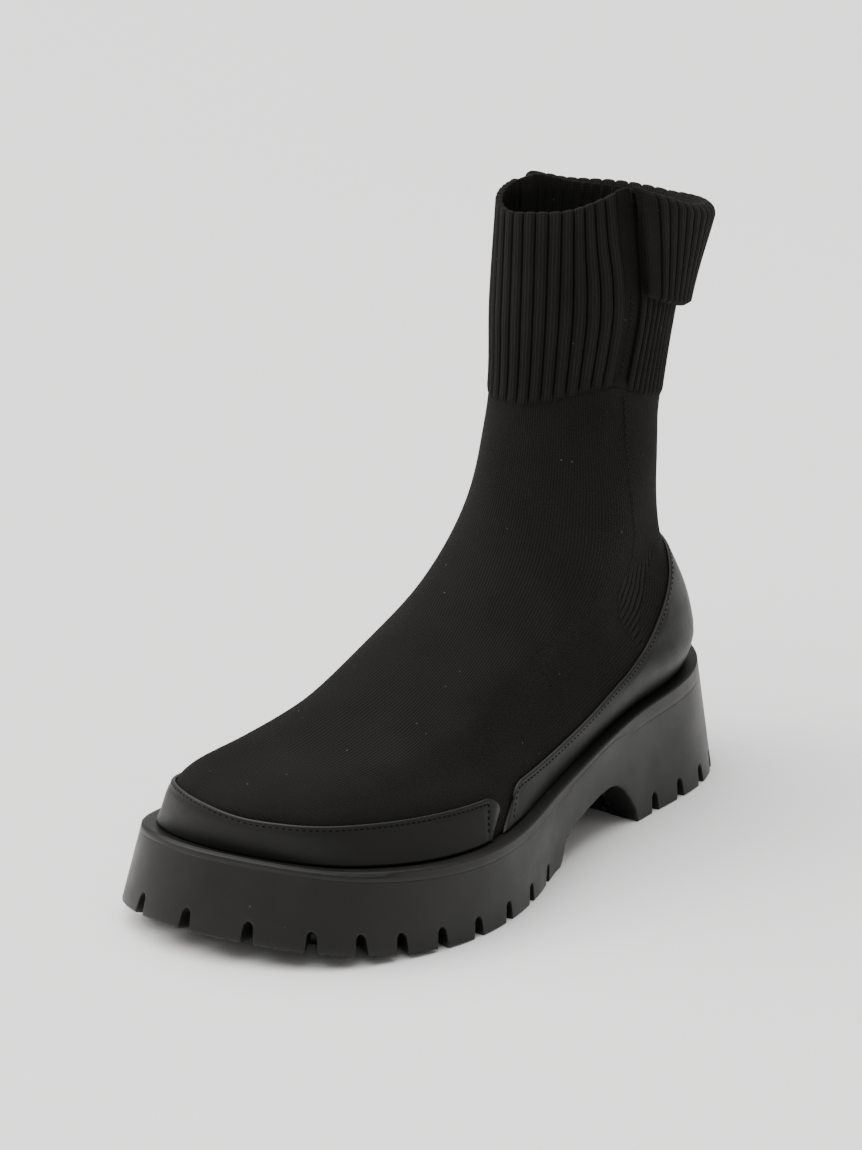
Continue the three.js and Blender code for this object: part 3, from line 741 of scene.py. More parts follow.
@dataclass
class KnitUpper:
    """Foot, shaft, ribbed cuff and lining face of the upper, as one closed skin."""

    wall: float = 2.0
    crown: float = 0.3
    rib_height: float = 1.35
    tuck: float = 0.4
    rim: float = 1.1
    margin: float = 9.0
    top: float = 0.998
    # first and last rise, number of rows
    row_spans = ((0.0, 0.3, 44), (0.3, 0.742, 50), (0.742, 0.8, 18))

    # degrees, rise of the cuff's lower line
    cuff_line = (
        (0, 0.762), (60, 0.764), (82, 0.77), (104, 0.783), (125, 0.775), (145, 0.762),
        (165, 0.752), (206, 0.752), (240, 0.76), (268, 0.775), (290, 0.766), (360, 0.762))

    def cuff_edge(self, angle: np.ndarray) -> np.ndarray:
        """Rise of the cuff's lower line."""
        table = np.array(self.cuff_line)
        return np.interp(np.degrees(np.mod(angle, TURN)), table[:, 0], table[:, 1])

    def outside(self, angle: np.ndarray, rise: np.ndarray, height: np.ndarray) -> np.ndarray:
        """Offset of the outside: plain knit drawn in under the cuff, then ribs with round ends."""
        end = self.cuff_edge(angle) + 0.007 * (1 - height) ** 2
        here = np.clip((rise - end) / 0.009, 0, 1)
        here = np.sqrt(1 - (1 - here) ** 2)
        tuck = -self.tuck * ease(rise, 0.69, 0.745)
        return mix(tuck, self.crown - self.rib_height * (1 - height), here)

    def inside(self, rise: np.ndarray, height: np.ndarray) -> np.ndarray:
        """Offset of the inside, whose ribs stand where the outside has grooves."""
        return -self.wall - 0.6 * (1 - height) * ease(rise, 0.75, 0.78)

    def surface(self) -> Surface:
        """The closed skin: margin, outside, rim, inside and back to the margin."""
        angle, across, wale = Ribs().columns()
        levels = np.concatenate([
            np.linspace(low, high, count, endpoint=False) for low, high, count in self.row_spans])
        rise = np.r_[levels, np.linspace(self.row_spans[-1][1], self.top, 16)][:, None] + 0 * angle
        turned = angle[None, :] + seam_drift(angle[None, :], rise)
        height = np.broadcast_to(across, rise.shape)
        outer = LAST.skin(turned, rise, self.outside(turned, rise, height))
        down = np.r_[np.linspace(self.top, 0.74, 16, endpoint=False), np.linspace(0.74, 0.05, 26)]
        rise_in = down[:, None] + 0 * angle
        turned_in = angle[None, :] + seam_drift(angle[None, :], rise_in)
        inner = LAST.skin(turned_in, rise_in, self.inside(rise_in, across[None, :]))
        bend = np.linspace(0, np.pi, 7)[1:-1, None, None]
        rim = mix(outer[-1], inner[0], (1 - np.cos(bend)) / 2)
        bead = np.where(across < 0, 0.75, across)[None, :]
        rim[..., 2] += self.rim * np.sin(bend[..., 0]) * (bead - 0.45)
        rows = np.concatenate([
            self.under(angle, self.margin, self.wall), self.under(angle, self.margin, 0.0),
            outer, rim, inner, self.under(angle, self.wall, self.wall)])
        # painted shade: the seam bands, whose heights are below 0, get a flat 0.8 instead of the
        # groove's darkness
        light = np.where(height < 0, 0.8, height)
        flat = np.where(across < 0, 0.8, across)[None, :]
        # painted shade per row: 1 under the foot, the groove shade on the outside, 0.4 to 1 over the
        # rim and 0.35 to 0.85 on the lining inside the boot
        painted_shade = np.concatenate([
            np.ones((2, len(angle))),
            self.shade(rise, turned, light), 0.4 + 0.6 * np.repeat(flat, len(rim), 0),
            0.35 + 0.5 * flat + 0.0 * rise_in, np.ones((1, len(angle)))])
        leaf = np.zeros_like(painted_shade)
        leaf[2:2 + len(rise)] = SeamStitching().leaf(turned, rise)
        knit = KnitCourses()
        uv = knit.coordinates(rows)
        ribbed = np.concatenate([
            np.zeros((2, len(angle)), bool), rise > self.cuff_edge(turned),
            np.ones((len(rim), len(angle)), bool), rise_in > 0.76, np.zeros((1, len(angle)), bool)])
        uv[..., 0] = np.where(ribbed, wale[None, :], uv[..., 0])
        quads = grid(len(rows), len(angle), True, True)
        return Surface(
            rows.reshape(-1, 3), quads, uv.reshape(-1, 2), knit.wales,
            {"painted_shade": painted_shade, "leaf": leaf}).outward()

    def shade(self, rise: np.ndarray, angle: np.ndarray, height: np.ndarray) -> np.ndarray:
        """Painted shade mark: 0.75 on plain knit, 1 on the rib crests and towards 0 in the grooves,
        where it paints the grooves' shade.
        """
        in_cuff = np.clip((rise - self.cuff_edge(angle)) / 0.01, 0, 1)
        return mix(0.75, height ** 1.5, in_cuff)

    def under(self, angle: np.ndarray, inset: float, height: float) -> np.ndarray:
        """One row of the margin under the foot."""
        plan = LAST.outline(angle, np.full_like(angle, -inset))
        z = LAST.ledge(plan[:, 1]) + LAST.fit_gap + height
        return np.concatenate([plan, z[:, None]], -1)[None]

    def build(self, finish: bpy.types.Material) -> bpy.types.Object:
        """Makes the upper's main piece."""
        return self.surface().object("knit_upper", finish)


@dataclass
class CuffFlap:
    """Back of the cuff folded over outwards, with its own ribs and a plain front margin.

    The fold's section is a hook: from inside the wall up, a half circle over the edge, and down
    the outside. The slab's faces lie half a thickness on both sides of that line.
    """

    front: float = 108.4
    back: float = -83.0
    front_slant: float = 12.0
    back_slant: float = 12.0
    depth: float = 34.4
    drop: float = 1.3
    side_sag: float = 1.5
    bend: float = 2.0
    inner_out: float = 0.95
    wall: float = 1.7
    rib_height: float = 1.15
    rib_count: int = 25
    plain: float = 8.0
    course_pitch: float = 0.85

    def section(self) -> tuple[np.ndarray, np.ndarray, np.ndarray]:
        """Hook line as offsets and depths, its sideways direction, and the ribs' strength."""
        turn = np.linspace(0, np.pi, 11)
        drop = mix(self.drop, self.depth, np.linspace(0, 1, 22)[1:])
        middle = self.bend - self.inner_out
        out = np.r_[
            [-self.inner_out] * 2, middle - self.bend * np.cos(turn),
            np.full(21, middle + self.bend)]
        down = np.r_[[4.0, 2.5], self.drop - self.bend * np.sin(turn), drop]
        side_out = np.r_[[-1, -1], -np.cos(turn), np.ones(21)]
        side_down = np.r_[[0, 0], -np.sin(turn), np.zeros(21)]
        strength = np.r_[[0, 0], ease(turn, 0.3, 2.0), np.ones(21)]
        return np.stack([out, down], -1), np.stack([side_out, side_down], -1), strength

    def columns(self) -> tuple[np.ndarray, np.ndarray, np.ndarray]:
        """Shares from the front edge to the back edge, and the rib height and wale there."""
        ribs = Ribs()
        angle = np.radians(np.linspace(self.front, self.back, 600))
        points = LAST.plain(angle, np.full_like(angle, 0.93))
        reach = np.r_[0, np.cumsum(np.linalg.norm(np.diff(points, axis=0), axis=1))]
        total = reach[-1]
        edge = np.array([0, 0.35, 1.0, 2.4, 4.8, 7.0])
        place = (np.arange(self.rib_count)[:, None] + np.array(ribs.steps)[None, :]).ravel()
        middle = mix(self.plain, total - self.plain, place / self.rib_count)
        far = total - edge[::-1]
        at = np.r_[edge, middle, total - self.plain, far]
        flat = np.array([0.2, 0.5, 0.65, 0.72, 0.7, 0.55])
        height = np.r_[flat, ribs.height(np.mod(place, 1)), 0.0, flat[::-1]]
        share = np.interp(at, reach, np.linspace(0, 1, 600))
        wale = (at - self.plain) / (total - 2 * self.plain) * self.rib_count * ribs.rib_wales
        return share, height, wale

    def surface(self) -> Surface:
        """The closed slab with its ribs."""
        line, side, strength = self.section()
        share, height, wale = self.columns()
        depth = np.clip(line[:, 1], 0, self.depth)[:, None]
        down = depth / self.depth
        front = self.front - self.front_slant * down
        angle = np.radians(mix(front, self.back + self.back_slant * down, share[None, :]))
        rise = LAST.rise_below(angle, depth + 0 * angle)
        base = LAST.plain(angle, rise)
        normal = LAST.normal(angle, rise)
        near_hem = np.clip((self.depth - line[:, 1]) / 0.9, 0, 1)
        taper = np.sqrt(1 - (1 - near_hem) ** 2) * 0.85 + 0.15
        half = self.wall / 2 * taper
        grown = half[:, None] + self.rib_height * strength[:, None] * height[None, :] * taper[:, None]
        degrees = np.abs(np.degrees(angle))
        sag = self.side_sag * ease(degrees, 20, 70) * (
            1 - np.clip(line[:, 1], 0, None)[:, None] / self.depth)
        faces = []
        for thickness in (grown, -half[:, None] + 0 * grown):
            out = line[:, 0][:, None] + side[:, 0][:, None] * thickness
            drop = line[:, 1][:, None] + side[:, 1][:, None] * thickness
            face = base + normal * out[..., None]
            face[..., 2] += depth - drop - sag
            faces.append(face)
        points, quads = slab(faces[0], faces[1])
        run = np.r_[0, np.cumsum(np.linalg.norm(np.diff(line, axis=0), axis=1))]
        course = run / self.course_pitch
        uv = np.stack(np.broadcast_arrays(wale[None, :], course[:, None]), -1).reshape(-1, 2)
        # painted shade: the outer face is darkest in the rib grooves, and the flap's underside is a
        # flat 0.35
        painted_shade = np.concatenate([
            mix(1.0, np.broadcast_to(height[None, :], grown.shape) ** 1.5, strength[:, None] * 0.95),
            np.full_like(grown, 0.35)])
        return Surface(points, quads, np.concatenate([uv, uv]), 0.0, {"painted_shade": painted_shade}).outward()

    def build(self, finish: bpy.types.Material) -> bpy.types.Object:
        """Makes the flap."""
        return self.surface().object("cuff_flap", finish)


@dataclass
class Foxing:
    """Smooth band over the knit from the lateral slot round the toe and the heel to the slot."""

    gap: float = 0.3
    thickness: float = 1.1
    corner: float = 3.4
    edge_radius: float = 0.7
    pale_edge_width: float = 0.32
    degree_run: float = 0.75
    sole_gap: float = 0.15
    groove_depth: float = 0.22
    groove_half: float = 0.45
    stitch_drop: float = 1.9
    stitch_pitch: float = 2.15

    # degrees along the band from the toe part's end to the heel part's end, rise of the top edge
    top_rows = (
        (104, 0.05), (130, 0.058), (148, 0.062), (160, 0.0647), (170, 0.068), (175, 0.0745),
        (180, 0.0815), (185, 0.0864), (190, 0.0888), (195, 0.0892), (201, 0.086), (212, 0.076),
        (230, 0.063), (256, 0.05), (270, 0.054), (287, 0.082), (303, 0.133), (313, 0.208),
        (320, 0.28), (328, 0.333), (340, 0.36), (360, 0.37), (380, 0.36), (392, 0.333),
        (400, 0.28), (407, 0.208), (417, 0.133), (433, 0.082), (450, 0.054), (466, 0.05))
    toe_end = (113.2, 108.4)
    heel_end = (109.3, 103.6)

    def top(self, angle: np.ndarray) -> np.ndarray:
        """Rise of the top edge, with a rounded corner at each end."""
        table = np.array(self.top_rows)
        rise = hermite(table[:, 0], table[:, 1], np.degrees(angle))
        start = np.clip((np.degrees(angle) - self.toe_end[1]) / self.corner, 0, 1)
        end = np.clip((360 + self.heel_end[1] - np.degrees(angle)) / self.corner, 0, 1)
        for share, low in ((start, 0.55), (end, 0.6)):
            rise = rise * mix(low, 1.0, np.sqrt(1 - (1 - share) ** 2))
        return rise

    def lean(self, angle: np.ndarray, height: np.ndarray) -> np.ndarray:
        """How far a point of the two slanting ends lies further along, towards the ledge."""
        end = 360 + self.heel_end[1]
        degrees = np.degrees(angle)
        start_near = np.clip(1 - (degrees - self.toe_end[1]) / (3 * self.corner), 0, 1)
        end_near = np.clip(1 - (end - degrees) / (3 * self.corner), 0, 1)
        return np.radians((1 - height) * (
            start_near * (self.toe_end[0] - self.toe_end[1])
            + end_near * (self.heel_end[0] - self.heel_end[1])))

    def places(self, along: np.ndarray, height: np.ndarray) -> tuple[np.ndarray, np.ndarray]:
        """Angle and rise at a place along the band and a share of its height."""
        return along + self.lean(along, height), self.top(along) * height

    def surface(self) -> Surface:
        """The closed band, with rounded edges and a shallow groove under the stitches."""
        first = np.radians(self.toe_end[1])
        last = np.radians(360 + self.heel_end[1])
        edge = np.radians(np.array([0, 0.06, 0.15, 0.3, 0.5, 0.8, 1.2, 1.7, 2.3, 3.0, 3.8]))
        middle = np.linspace(first + edge[-1], last - edge[-1], 420)[1:-1]
        along = np.r_[first + edge, middle, last - edge[::-1]]
        height = np.r_[np.linspace(0, 0.8, 12, endpoint=False), 0.8, 0.86, 0.91, 0.95, 0.975, 0.99, 1.0]
        angle, rise = self.places(along[None, :], height[:, None])
        base = LAST.plain(angle, rise)
        reach = np.linalg.norm(np.diff(base, axis=0), axis=-1)[::-1].cumsum(0)[::-1]
        to_top = np.concatenate([reach, np.zeros((1, len(along)))])
        to_end = np.degrees(np.minimum(along - first, last - along)) * self.degree_run
        to_edge = np.minimum(to_top, to_end[None, :])
        rounding = np.sqrt(1 - (1 - np.clip(to_edge / self.edge_radius, 0, 1)) ** 2)
        groove = self.groove_depth * np.exp(
            -((to_edge - self.stitch_drop) / self.groove_half) ** 2)
        normal = LAST.normal(angle, rise)
        outer = base + normal * (self.gap + self.thickness * (0.3 + 0.7 * rounding) - groove)[..., None]
        inner = base + normal * np.full_like(to_top, self.gap)[..., None]
        sole_top = LAST.ledge(base[..., 1]) + self.sole_gap
        for face in (outer, inner):
            face[..., 2] = np.maximum(face[..., 2], sole_top)
        points, quads = slab(outer, inner)
        mark = np.clip(1 - to_edge / self.pale_edge_width, 0, 1)
        marks = {"edge": np.concatenate([mark, np.full_like(mark, 0.1)])}
        return Surface(points, quads, marks=marks).outward()

    def stitch_line(self) -> tuple[np.ndarray, np.ndarray]:
        """Places of the stitches: an even row below the top edge and down both ends."""
        first = np.radians(self.toe_end[1])
        last = np.radians(360 + self.heel_end[1])
        along = np.linspace(first + np.radians(2.6), last - np.radians(2.1), 4000)
        points = LAST.plain(along, self.top(along))
        tall = np.linalg.norm(points - LAST.plain(along, 0 * along), axis=-1)
        share = 1 - self.stitch_drop / tall
        angle, rise = self.places(along, share)
        up = np.linspace(0.12, 0.78, 40)
        start_angle, start_rise = self.places(np.full_like(up, first + np.radians(2.4)), up)
        end_angle, end_rise = self.places(np.full_like(up, last - np.radians(1.9)), up[::-1])
        angle = np.r_[start_angle, angle, end_angle]
        rise = np.r_[start_rise, rise, end_rise]
        points = LAST.plain(angle, rise)
        reach = np.r_[0, np.cumsum(np.linalg.norm(np.diff(points, axis=0), axis=1))]
        at = np.arange(self.stitch_pitch, reach[-1], self.stitch_pitch)
        return np.interp(at, reach, angle), np.interp(at, reach, rise)

    def build(self, finish: bpy.types.Material, thread: bpy.types.Material) -> list[bpy.types.Object]:
        """Makes the band and its stitches."""
        band = self.surface().object("foxing_band", finish)
        angle, rise = self.stitch_line()
        row = Stitches(length=1.35, radius=0.28, lift=self.gap + self.thickness - 0.14)
        return [band, row.build("foxing_stitches", angle, rise, thread)]


class StitchKind(Enum):
    """How the stitches of a row lie."""

    STRAIGHT = "straight"
    ZIGZAG = "zigzag"


@dataclass
class Stitches:
    """A row of short threads on the upper, each a capsule with six sides."""

    length: float = 1.4
    radius: float = 0.3
    lift: float = 0.1
    kind: StitchKind = StitchKind.STRAIGHT
    swing: float = 0.9
    sides: int = 6

    def surface(self, angle: np.ndarray, rise: np.ndarray) -> Surface:
        """All the row's capsules, each laid along the row or slanting across it.

        A capsule's radius follows a half circle over its length, so both ends are closed by
        small rings.
        """
        centre = LAST.skin(angle, rise, np.full_like(angle, self.lift))
        normal = LAST.normal(angle, rise)
        run = np.gradient(centre, axis=0)
        run /= np.linalg.norm(run, axis=1, keepdims=True)
        across = np.cross(normal, run)
        if self.kind is StitchKind.ZIGZAG:
            sign = np.where(np.arange(len(angle)) % 2 == 0, 1.0, -1.0)[:, None]
            run = run + across * sign * self.swing
            run /= np.linalg.norm(run, axis=1, keepdims=True)
            across = np.cross(normal, run)
        place = np.array([-1.0, -0.9, -0.55, 0.0, 0.55, 0.9, 1.0])
        wide = np.array([0.12, 0.55, 0.95, 1.0, 0.95, 0.55, 0.12])
        turn = np.linspace(0, TURN, self.sides, endpoint=False)
        lengthwise = place[:, None] + 0 * turn[None, :]
        sideways = wide[:, None] * np.cos(turn)[None, :]
        upwards = wide[:, None] * np.sin(turn)[None, :] - 0.35 * np.abs(place[:, None]) ** 3
        points = (centre[:, None, None, :]
                  + run[:, None, None, :] * lengthwise[None, ..., None] * self.length / 2
                  + across[:, None, None, :] * sideways[None, ..., None] * self.radius
                  + normal[:, None, None, :] * upwards[None, ..., None] * self.radius)
        one = grid(len(place), self.sides, False, True)
        last = (len(place) - 1) * self.sides
        caps = np.array([[0, 1, 2, 3], [0, 3, 4, 5]])
        one = np.concatenate([one, caps[:, ::-1], caps + last])
        size = len(place) * self.sides
        quads = (one[None] + (np.arange(len(angle)) * size)[:, None, None]).reshape(-1, 4)
        return Surface(points.reshape(-1, 3), quads).outward()

    def build(self, name: str, angle: np.ndarray, rise: np.ndarray,
              thread: bpy.types.Material) -> bpy.types.Object:
        """Makes the row as one piece."""
        return self.surface(angle, rise).object(name, thread)


@dataclass
class SeamStitching:
    """Sewing of the two side seams and of the heel leaf."""

    band = ((101.0, 0.785), (99.9, 0.81), (98.9, 0.84), (98.7, 0.865), (100.0, 0.89))
    shaft = ((97.5, 0.77), (95, 0.745), (92.5, 0.695), (86.8, 0.625), (71.5, 0.525), (67, 0.455))
    leaf_front = (
        (67, 0.455), (68.2, 0.415), (71, 0.38), (68.2, 0.335), (66, 0.28), (60.5, 0.205),
        (58.5, 0.15))
    leaf_back = ((44.0, 0.42), (46.5, 0.395), (53.2, 0.33), (55.2, 0.27), (56, 0.185))

    def leaf(self, angle: np.ndarray, rise: np.ndarray) -> np.ndarray:
        """1 inside the ribbed leaf between its two stitched lines, on both sides."""
        folded, _ = LAST.fold(angle)
        front = np.array(self.leaf_front)[::-1]
        back = np.array(self.leaf_back)[::-1]
        first = np.interp(rise, front[:, 1], front[:, 0])
        last = np.interp(rise, back[:, 1], back[:, 0])
        place = np.degrees(folded)
        within = ease(place, last, last + 0.8) * (1 - ease(place, first - 0.8, first))
        return within * ease(rise, 0.13, 0.15) * (1 - ease(rise, 0.4, 0.43))

    def rows(self) -> list:
        """Rows as name, stops, the degrees that both sides' angles add up to, pitch and kind."""
        seams = Ribs.seam_lateral + Ribs.seam_medial
        straight = Stitches(1.35, 0.24, 0.05)
        return [
            ("band", self.band, seams, 1.0, Stitches(2.2, 0.22, -1.2, StitchKind.ZIGZAG, 1.6)),
            ("shaft", self.shaft, 0, 1.5, Stitches(1.9, 0.26, 0.05, StitchKind.ZIGZAG, 0.9)),
            ("leaf_front", self.leaf_front, 0, 1.9, straight),
            ("leaf_back", self.leaf_back, 0, 1.9, straight),
        ]

    def build(self, thread: bpy.types.Material) -> list[bpy.types.Object]:
        """Makes every row on both sides; the medial rows are mirrored."""
        made = []
        for side in ("lateral", "medial"):
            for name, stops, both, pitch, row in self.rows():
                if side == "medial":
                    stops = [(both - degrees, rise) for degrees, rise in stops]
                angle, rise = LAST.path(stops, pitch)
                made.append(row.build(f"stitches_{name}_{side}", angle, rise, thread))
        return made


@dataclass
class Outsole:
    """Rubber unit: ledge, flared wall with a fine moulded line, arch tunnel and side notches.

    Rings run down from the ledge to the wall's foot. Below a fixed height each column takes a
    path of three legs: down the wall to the notch's roof, in along the roof, and down the
    notch's back wall. Where there is no notch the roof lies on the ground, so the same grid
    makes a plain edge.
    """

    wall_start: float = 0.9
    line_share: float = 0.15
    line_depth: float = 0.1
    arch_height: float = 17.8
    notch_height: float = 7.0
    notch_half: float = 2.3
    notch_depth: float = 13.0
    edge_round: float = 0.8
    wall_end: float = 8.2
    base_columns: int = 460
    near: float = 0.0004

    # share of the sole's length, share of the arch's height
    arch_rows = (
        (0.288, 0.0), (0.293, 0.29), (0.305, 0.56), (0.32, 0.81), (0.336, 0.96), (0.352, 1.0),
        (0.378, 0.96), (0.41, 0.84), (0.442, 0.7), (0.462, 0.57), (0.472, 0.38), (0.477, 0.0))
    # first and last angle, number of notches
    notch_runs = (
        (95.8, 155.5, 8), (166, 206, 4), (215, 263, 8), (27.5, 57, 4), (303, 332.5, 4), (0, 0, 1))

    def notches(self) -> np.ndarray:
        """Angles of the notches."""
        return np.radians(np.concatenate([np.linspace(a, b, n) for a, b, n in self.notch_runs]))

    def foot_out(self, angle: np.ndarray) -> np.ndarray:
        """How far the wall's foot lies outside the feather line."""
        return LAST.ledge_width + LAST.flare(angle)

    def nearest(self, places: np.ndarray, others: np.ndarray, turn: float) -> np.ndarray:
        """Distance from each place to the nearest other one, round a closed line."""
        apart = np.mod(places[:, None] - others[None, :] + turn / 2, turn) - turn / 2
        return np.min(np.abs(apart), axis=1)

    def columns(self) -> tuple[np.ndarray, np.ndarray]:
        """Angles of the columns, the same on both sides, and the notch height at each."""
        dense = np.linspace(0, TURN, 7201)
        plan = LAST.outline(dense, self.foot_out(dense))
        reach = np.r_[0, np.cumsum(np.linalg.norm(np.diff(plan, axis=0), axis=1))]
        total = reach[-1]
        centres = np.interp(self.notches(), dense, reach)
        right = np.array([0.7, 1.2, 1.66, 1.9, 2.12, 2.3, 2.9])
        across = np.r_[-right[::-1], 0, right]
        own = np.interp(np.mod(centres[:, None] + across[None, :], total).ravel(), reach, dense)
        rows = np.array(self.arch_rows)
        shares = np.r_[
            np.linspace(rows[0, 0] - 0.001, rows[1, 0], 9),
            np.linspace(rows[1, 0], rows[-2, 0], 40),
            np.linspace(rows[-2, 0], rows[-1, 0] + 0.001, 9)]
        y = LAST.sole_heel - LAST.sole_length * shares
        arch = np.arccos(np.clip(1 + 2 * y / LAST.length, -1, 1))
        extra = np.r_[own, arch]
        extra = np.r_[extra, TURN - extra]
        base = np.linspace(0, TURN, self.base_columns, endpoint=False)
        gap = self.nearest(base, extra, TURN)
        angle = np.r_[base[gap > 10 * self.near], extra]
        angle = np.unique(np.round(np.mod(angle, TURN), 6))
        angle = angle[np.r_[True, np.diff(angle) > self.near / 2]]
        half = np.unique(np.round(np.minimum(angle, TURN - angle), 6))
        half = half[np.r_[True, np.diff(half) > self.near]]
        half = half[(half > self.near) & (half < np.pi - self.near)]
        angle = np.r_[0.0, half, np.pi, (TURN - half)[::-1]]
        at = np.interp(angle, dense, reach)
        gap = self.nearest(at, centres, total)
        height = np.interp(gap, [0.0, 0.75, 1.66, 2.3], [1.0, 0.97, 0.8, 0.0])
        height = np.where(gap >= self.notch_half, 0.0, height) * self.notch_height
        return angle, height

    def floor(self, y: np.ndarray) -> np.ndarray:
        """Height of the bottom: ground line, or the arch's roof."""
        rows = np.array(self.arch_rows)
        arch = np.interp(LAST.along(y), rows[:, 0], rows[:, 1], left=0, right=0)
        return LAST.ground(y) + self.arch_height * arch

    def surface(self) -> Surface:
        """The closed unit."""
        angle, notch = self.columns()
        rings = []

        def on_ledge(out: float, drop: float) -> None:
            """Adds a ring a drop below the ledge's height."""
            plan = LAST.outline(angle, np.full_like(angle, out))
            rings.append(np.concatenate([plan, (LAST.ledge(plan[:, 1]) - drop)[:, None]], -1))

        width = LAST.ledge_width
        for out, drop in ((-16, 0), (-4, 0), (2, 0), (width - 1.1, 0.0), (width - 0.55, 0.07),
                          (width - 0.16, 0.24), (width - 0.02, 0.6)):
            on_ledge(out, drop)
        foot = self.foot_out(angle)

        def on_wall(lift: np.ndarray, inset: np.ndarray, drop_to: float | None = None) -> None:
            """Adds a ring on the leaning wall, a lift over the bottom or part of the way there."""
            plan = LAST.outline(angle, foot)
            low = self.floor(plan[:, 1])
            ground = LAST.ground(plan[:, 1])
            high = LAST.ledge(plan[:, 1]) - self.wall_start
            z = mix(high, low + lift, 1.0 if drop_to is None else drop_to)
            share = np.clip((z - ground) / (high - ground), 0, 1)
            out = mix(foot, width, share)
            plan = LAST.outline(angle, out - inset)
            rings.append(np.concatenate([plan, z[:, None]], -1))

        none = np.zeros_like(angle)
        line = np.array([-0.012, -0.004, 0.004, 0.012]) + self.line_share
        for share in np.sort(np.r_[np.linspace(0, 1, 13), line]):
            inset = self.line_depth * (abs(share - self.line_share) < 0.005)
            on_wall(none + self.wall_end, none + inset, share)
        r = self.edge_round
        for share in (0.35, 0.7):
            on_wall(mix(self.wall_end, notch + r, share), none)
        on_wall(notch + r, none)
        on_wall(notch + 0.3 * r, none + 0.12 * r)
        on_wall(notch + 0.05 * r, none + 0.45 * r)
        on_wall(notch, none + r)
        deep = self.notch_depth * mix(0.6, 1.0, np.clip(notch, 0, 1))
        for share in (0.3, 0.65, 1.0):
            self.tread(rings, angle, foot - mix(r, deep, share), notch)
        self.tread(rings, angle, foot - mix(deep, self.notch_depth + 0.4, 0.5), notch * 0.5)
        self.tread(rings, angle, foot - self.notch_depth - 0.4, none)
        rings_all = np.array(rings)
        points = [rings_all.reshape(-1, 3)]
        quads = [grid(len(rings), len(angle), False, True)]
        first = len(rings) * len(angle)
        # the rings of the ledge's rounded outer edge are made paler in the colour
        ledge_paling = np.zeros(len(rings))
        ledge_paling[3:7] = (0.2, 0.7, 1.0, 0.5)
        for ring, flat, steps in ((0, True, 4), (len(rings) - 1, False, 16)):
            extra, faces = self.cap(rings_all[ring], ring * len(angle), first, steps, flat)
            points.append(extra)
            quads.append(faces)
            first += len(extra)
        made = Surface(np.concatenate(points), np.concatenate(quads))
        mark = np.zeros(len(made.points))
        mark[:len(rings) * len(angle)] = np.repeat(ledge_paling, len(angle))
        made.marks = {"edge": mark}
        return made.outward()

    def tread(self, rings: list, angle: np.ndarray, out: np.ndarray, lift: np.ndarray) -> None:
        """Adds a ring on the underside at a lift over the bottom."""
        plan = LAST.outline(angle, out)
        rings.append(np.concatenate([plan, (self.floor(plan[:, 1]) + lift)[:, None]], -1))

    def cap(self, ring: np.ndarray, start: int, first: int, steps: int,
            top: bool) -> tuple[np.ndarray, np.ndarray]:
        """Closes a ring with lines from side to side.

        The columns are mirrored, so column k faces column n - k. Each pair is joined by a
        straight line in plan, whose height is read from the sole's own top or bottom.
        """
        count = len(ring)
        half = count // 2
        right = np.arange(1, half)
        left = count - right
        share = np.linspace(0, 1, steps + 1)[1:-1][None, :, None]
        cross = mix(ring[right][:, None, :], ring[left][:, None, :], share)
        y = cross[..., 1]
        cross[..., 2] = LAST.ledge(y) if top else self.floor(y)
        number = first + np.arange(cross.shape[0] * cross.shape[1]).reshape(cross.shape[:2])
        lines = np.concatenate([(start + right)[:, None], number, (start + left)[:, None]], 1)
        a, b = lines[:-1], lines[1:]
        quads = np.stack([a[:, :-1], a[:, 1:], b[:, 1:], b[:, :-1]], -1).reshape(-1, 4)
        ends = []
        for tip, line in ((start, lines[0]), (start + half, lines[-1])):
            for k in range(0, len(line) - 1, 2):
                quad = [tip, line[k], line[k + 1], line[min(k + 2, len(line) - 1)]]
                ends.append(quad if tip == start else quad[::-1])
        faces = np.concatenate([quads, np.array(ends)])
        return cross.reshape(-1, 3), faces if top else faces[:, ::-1]

    def build(self, finish: bpy.types.Material) -> bpy.types.Object:
        """Makes the sole."""
        return self.surface().object("rubber_sole", finish)


@dataclass
class Insole:
    """Thin cloth-covered board inside the boot."""

    inset: float = 3.4
    wall: float = 2.0
    thickness: float = 3.0

    def surface(self) -> Surface:
        """Closed board with a soft edge, lines from side to side across it."""
        count = 240
        angle = np.linspace(0, TURN, count, endpoint=False)
        sole = Outsole()
        rings = []
        for trim, height in ((0, 0), (0, 0.6), (0.15, 0.85), (0.6, 1.0), (3.0, 1.0)):
            plan = LAST.outline(angle, np.full_like(angle, -self.wall - self.inset - trim))
            z = LAST.ledge(plan[:, 1]) + self.wall + 2 * LAST.fit_gap + height * self.thickness
            rings.append(np.concatenate([plan, z[:, None]], -1))
        rings_all = np.array(rings)
        points = [rings_all.reshape(-1, 3)]
        quads = [grid(len(rings), count, False, True)[:, ::-1]]
        first = len(rings) * count
        base = self.wall + 2 * LAST.fit_gap
        for ring, lift, top in ((0, base, False), (len(rings) - 1, base + self.thickness, True)):
            extra, faces = sole.cap(rings_all[ring], ring * count, first, 8, True)
            extra[:, 2] += lift
            points.append(extra)
            quads.append(faces if top else faces[:, ::-1])
            first += len(extra)
        made = Surface(np.concatenate(points), np.concatenate(quads))
        made.uv = made.points[:, :2] * 0.9
        # painted shade: the insole's knit is dimmed by a flat 0.6 mark, for the shade inside the boot
        made.marks = {"painted_shade": np.full(len(made.points), 0.6)}
        return made.outward()

    def build(self, finish: bpy.types.Material) -> bpy.types.Object:
        """Makes the insole."""
        return self.surface().object("insole_board", finish)


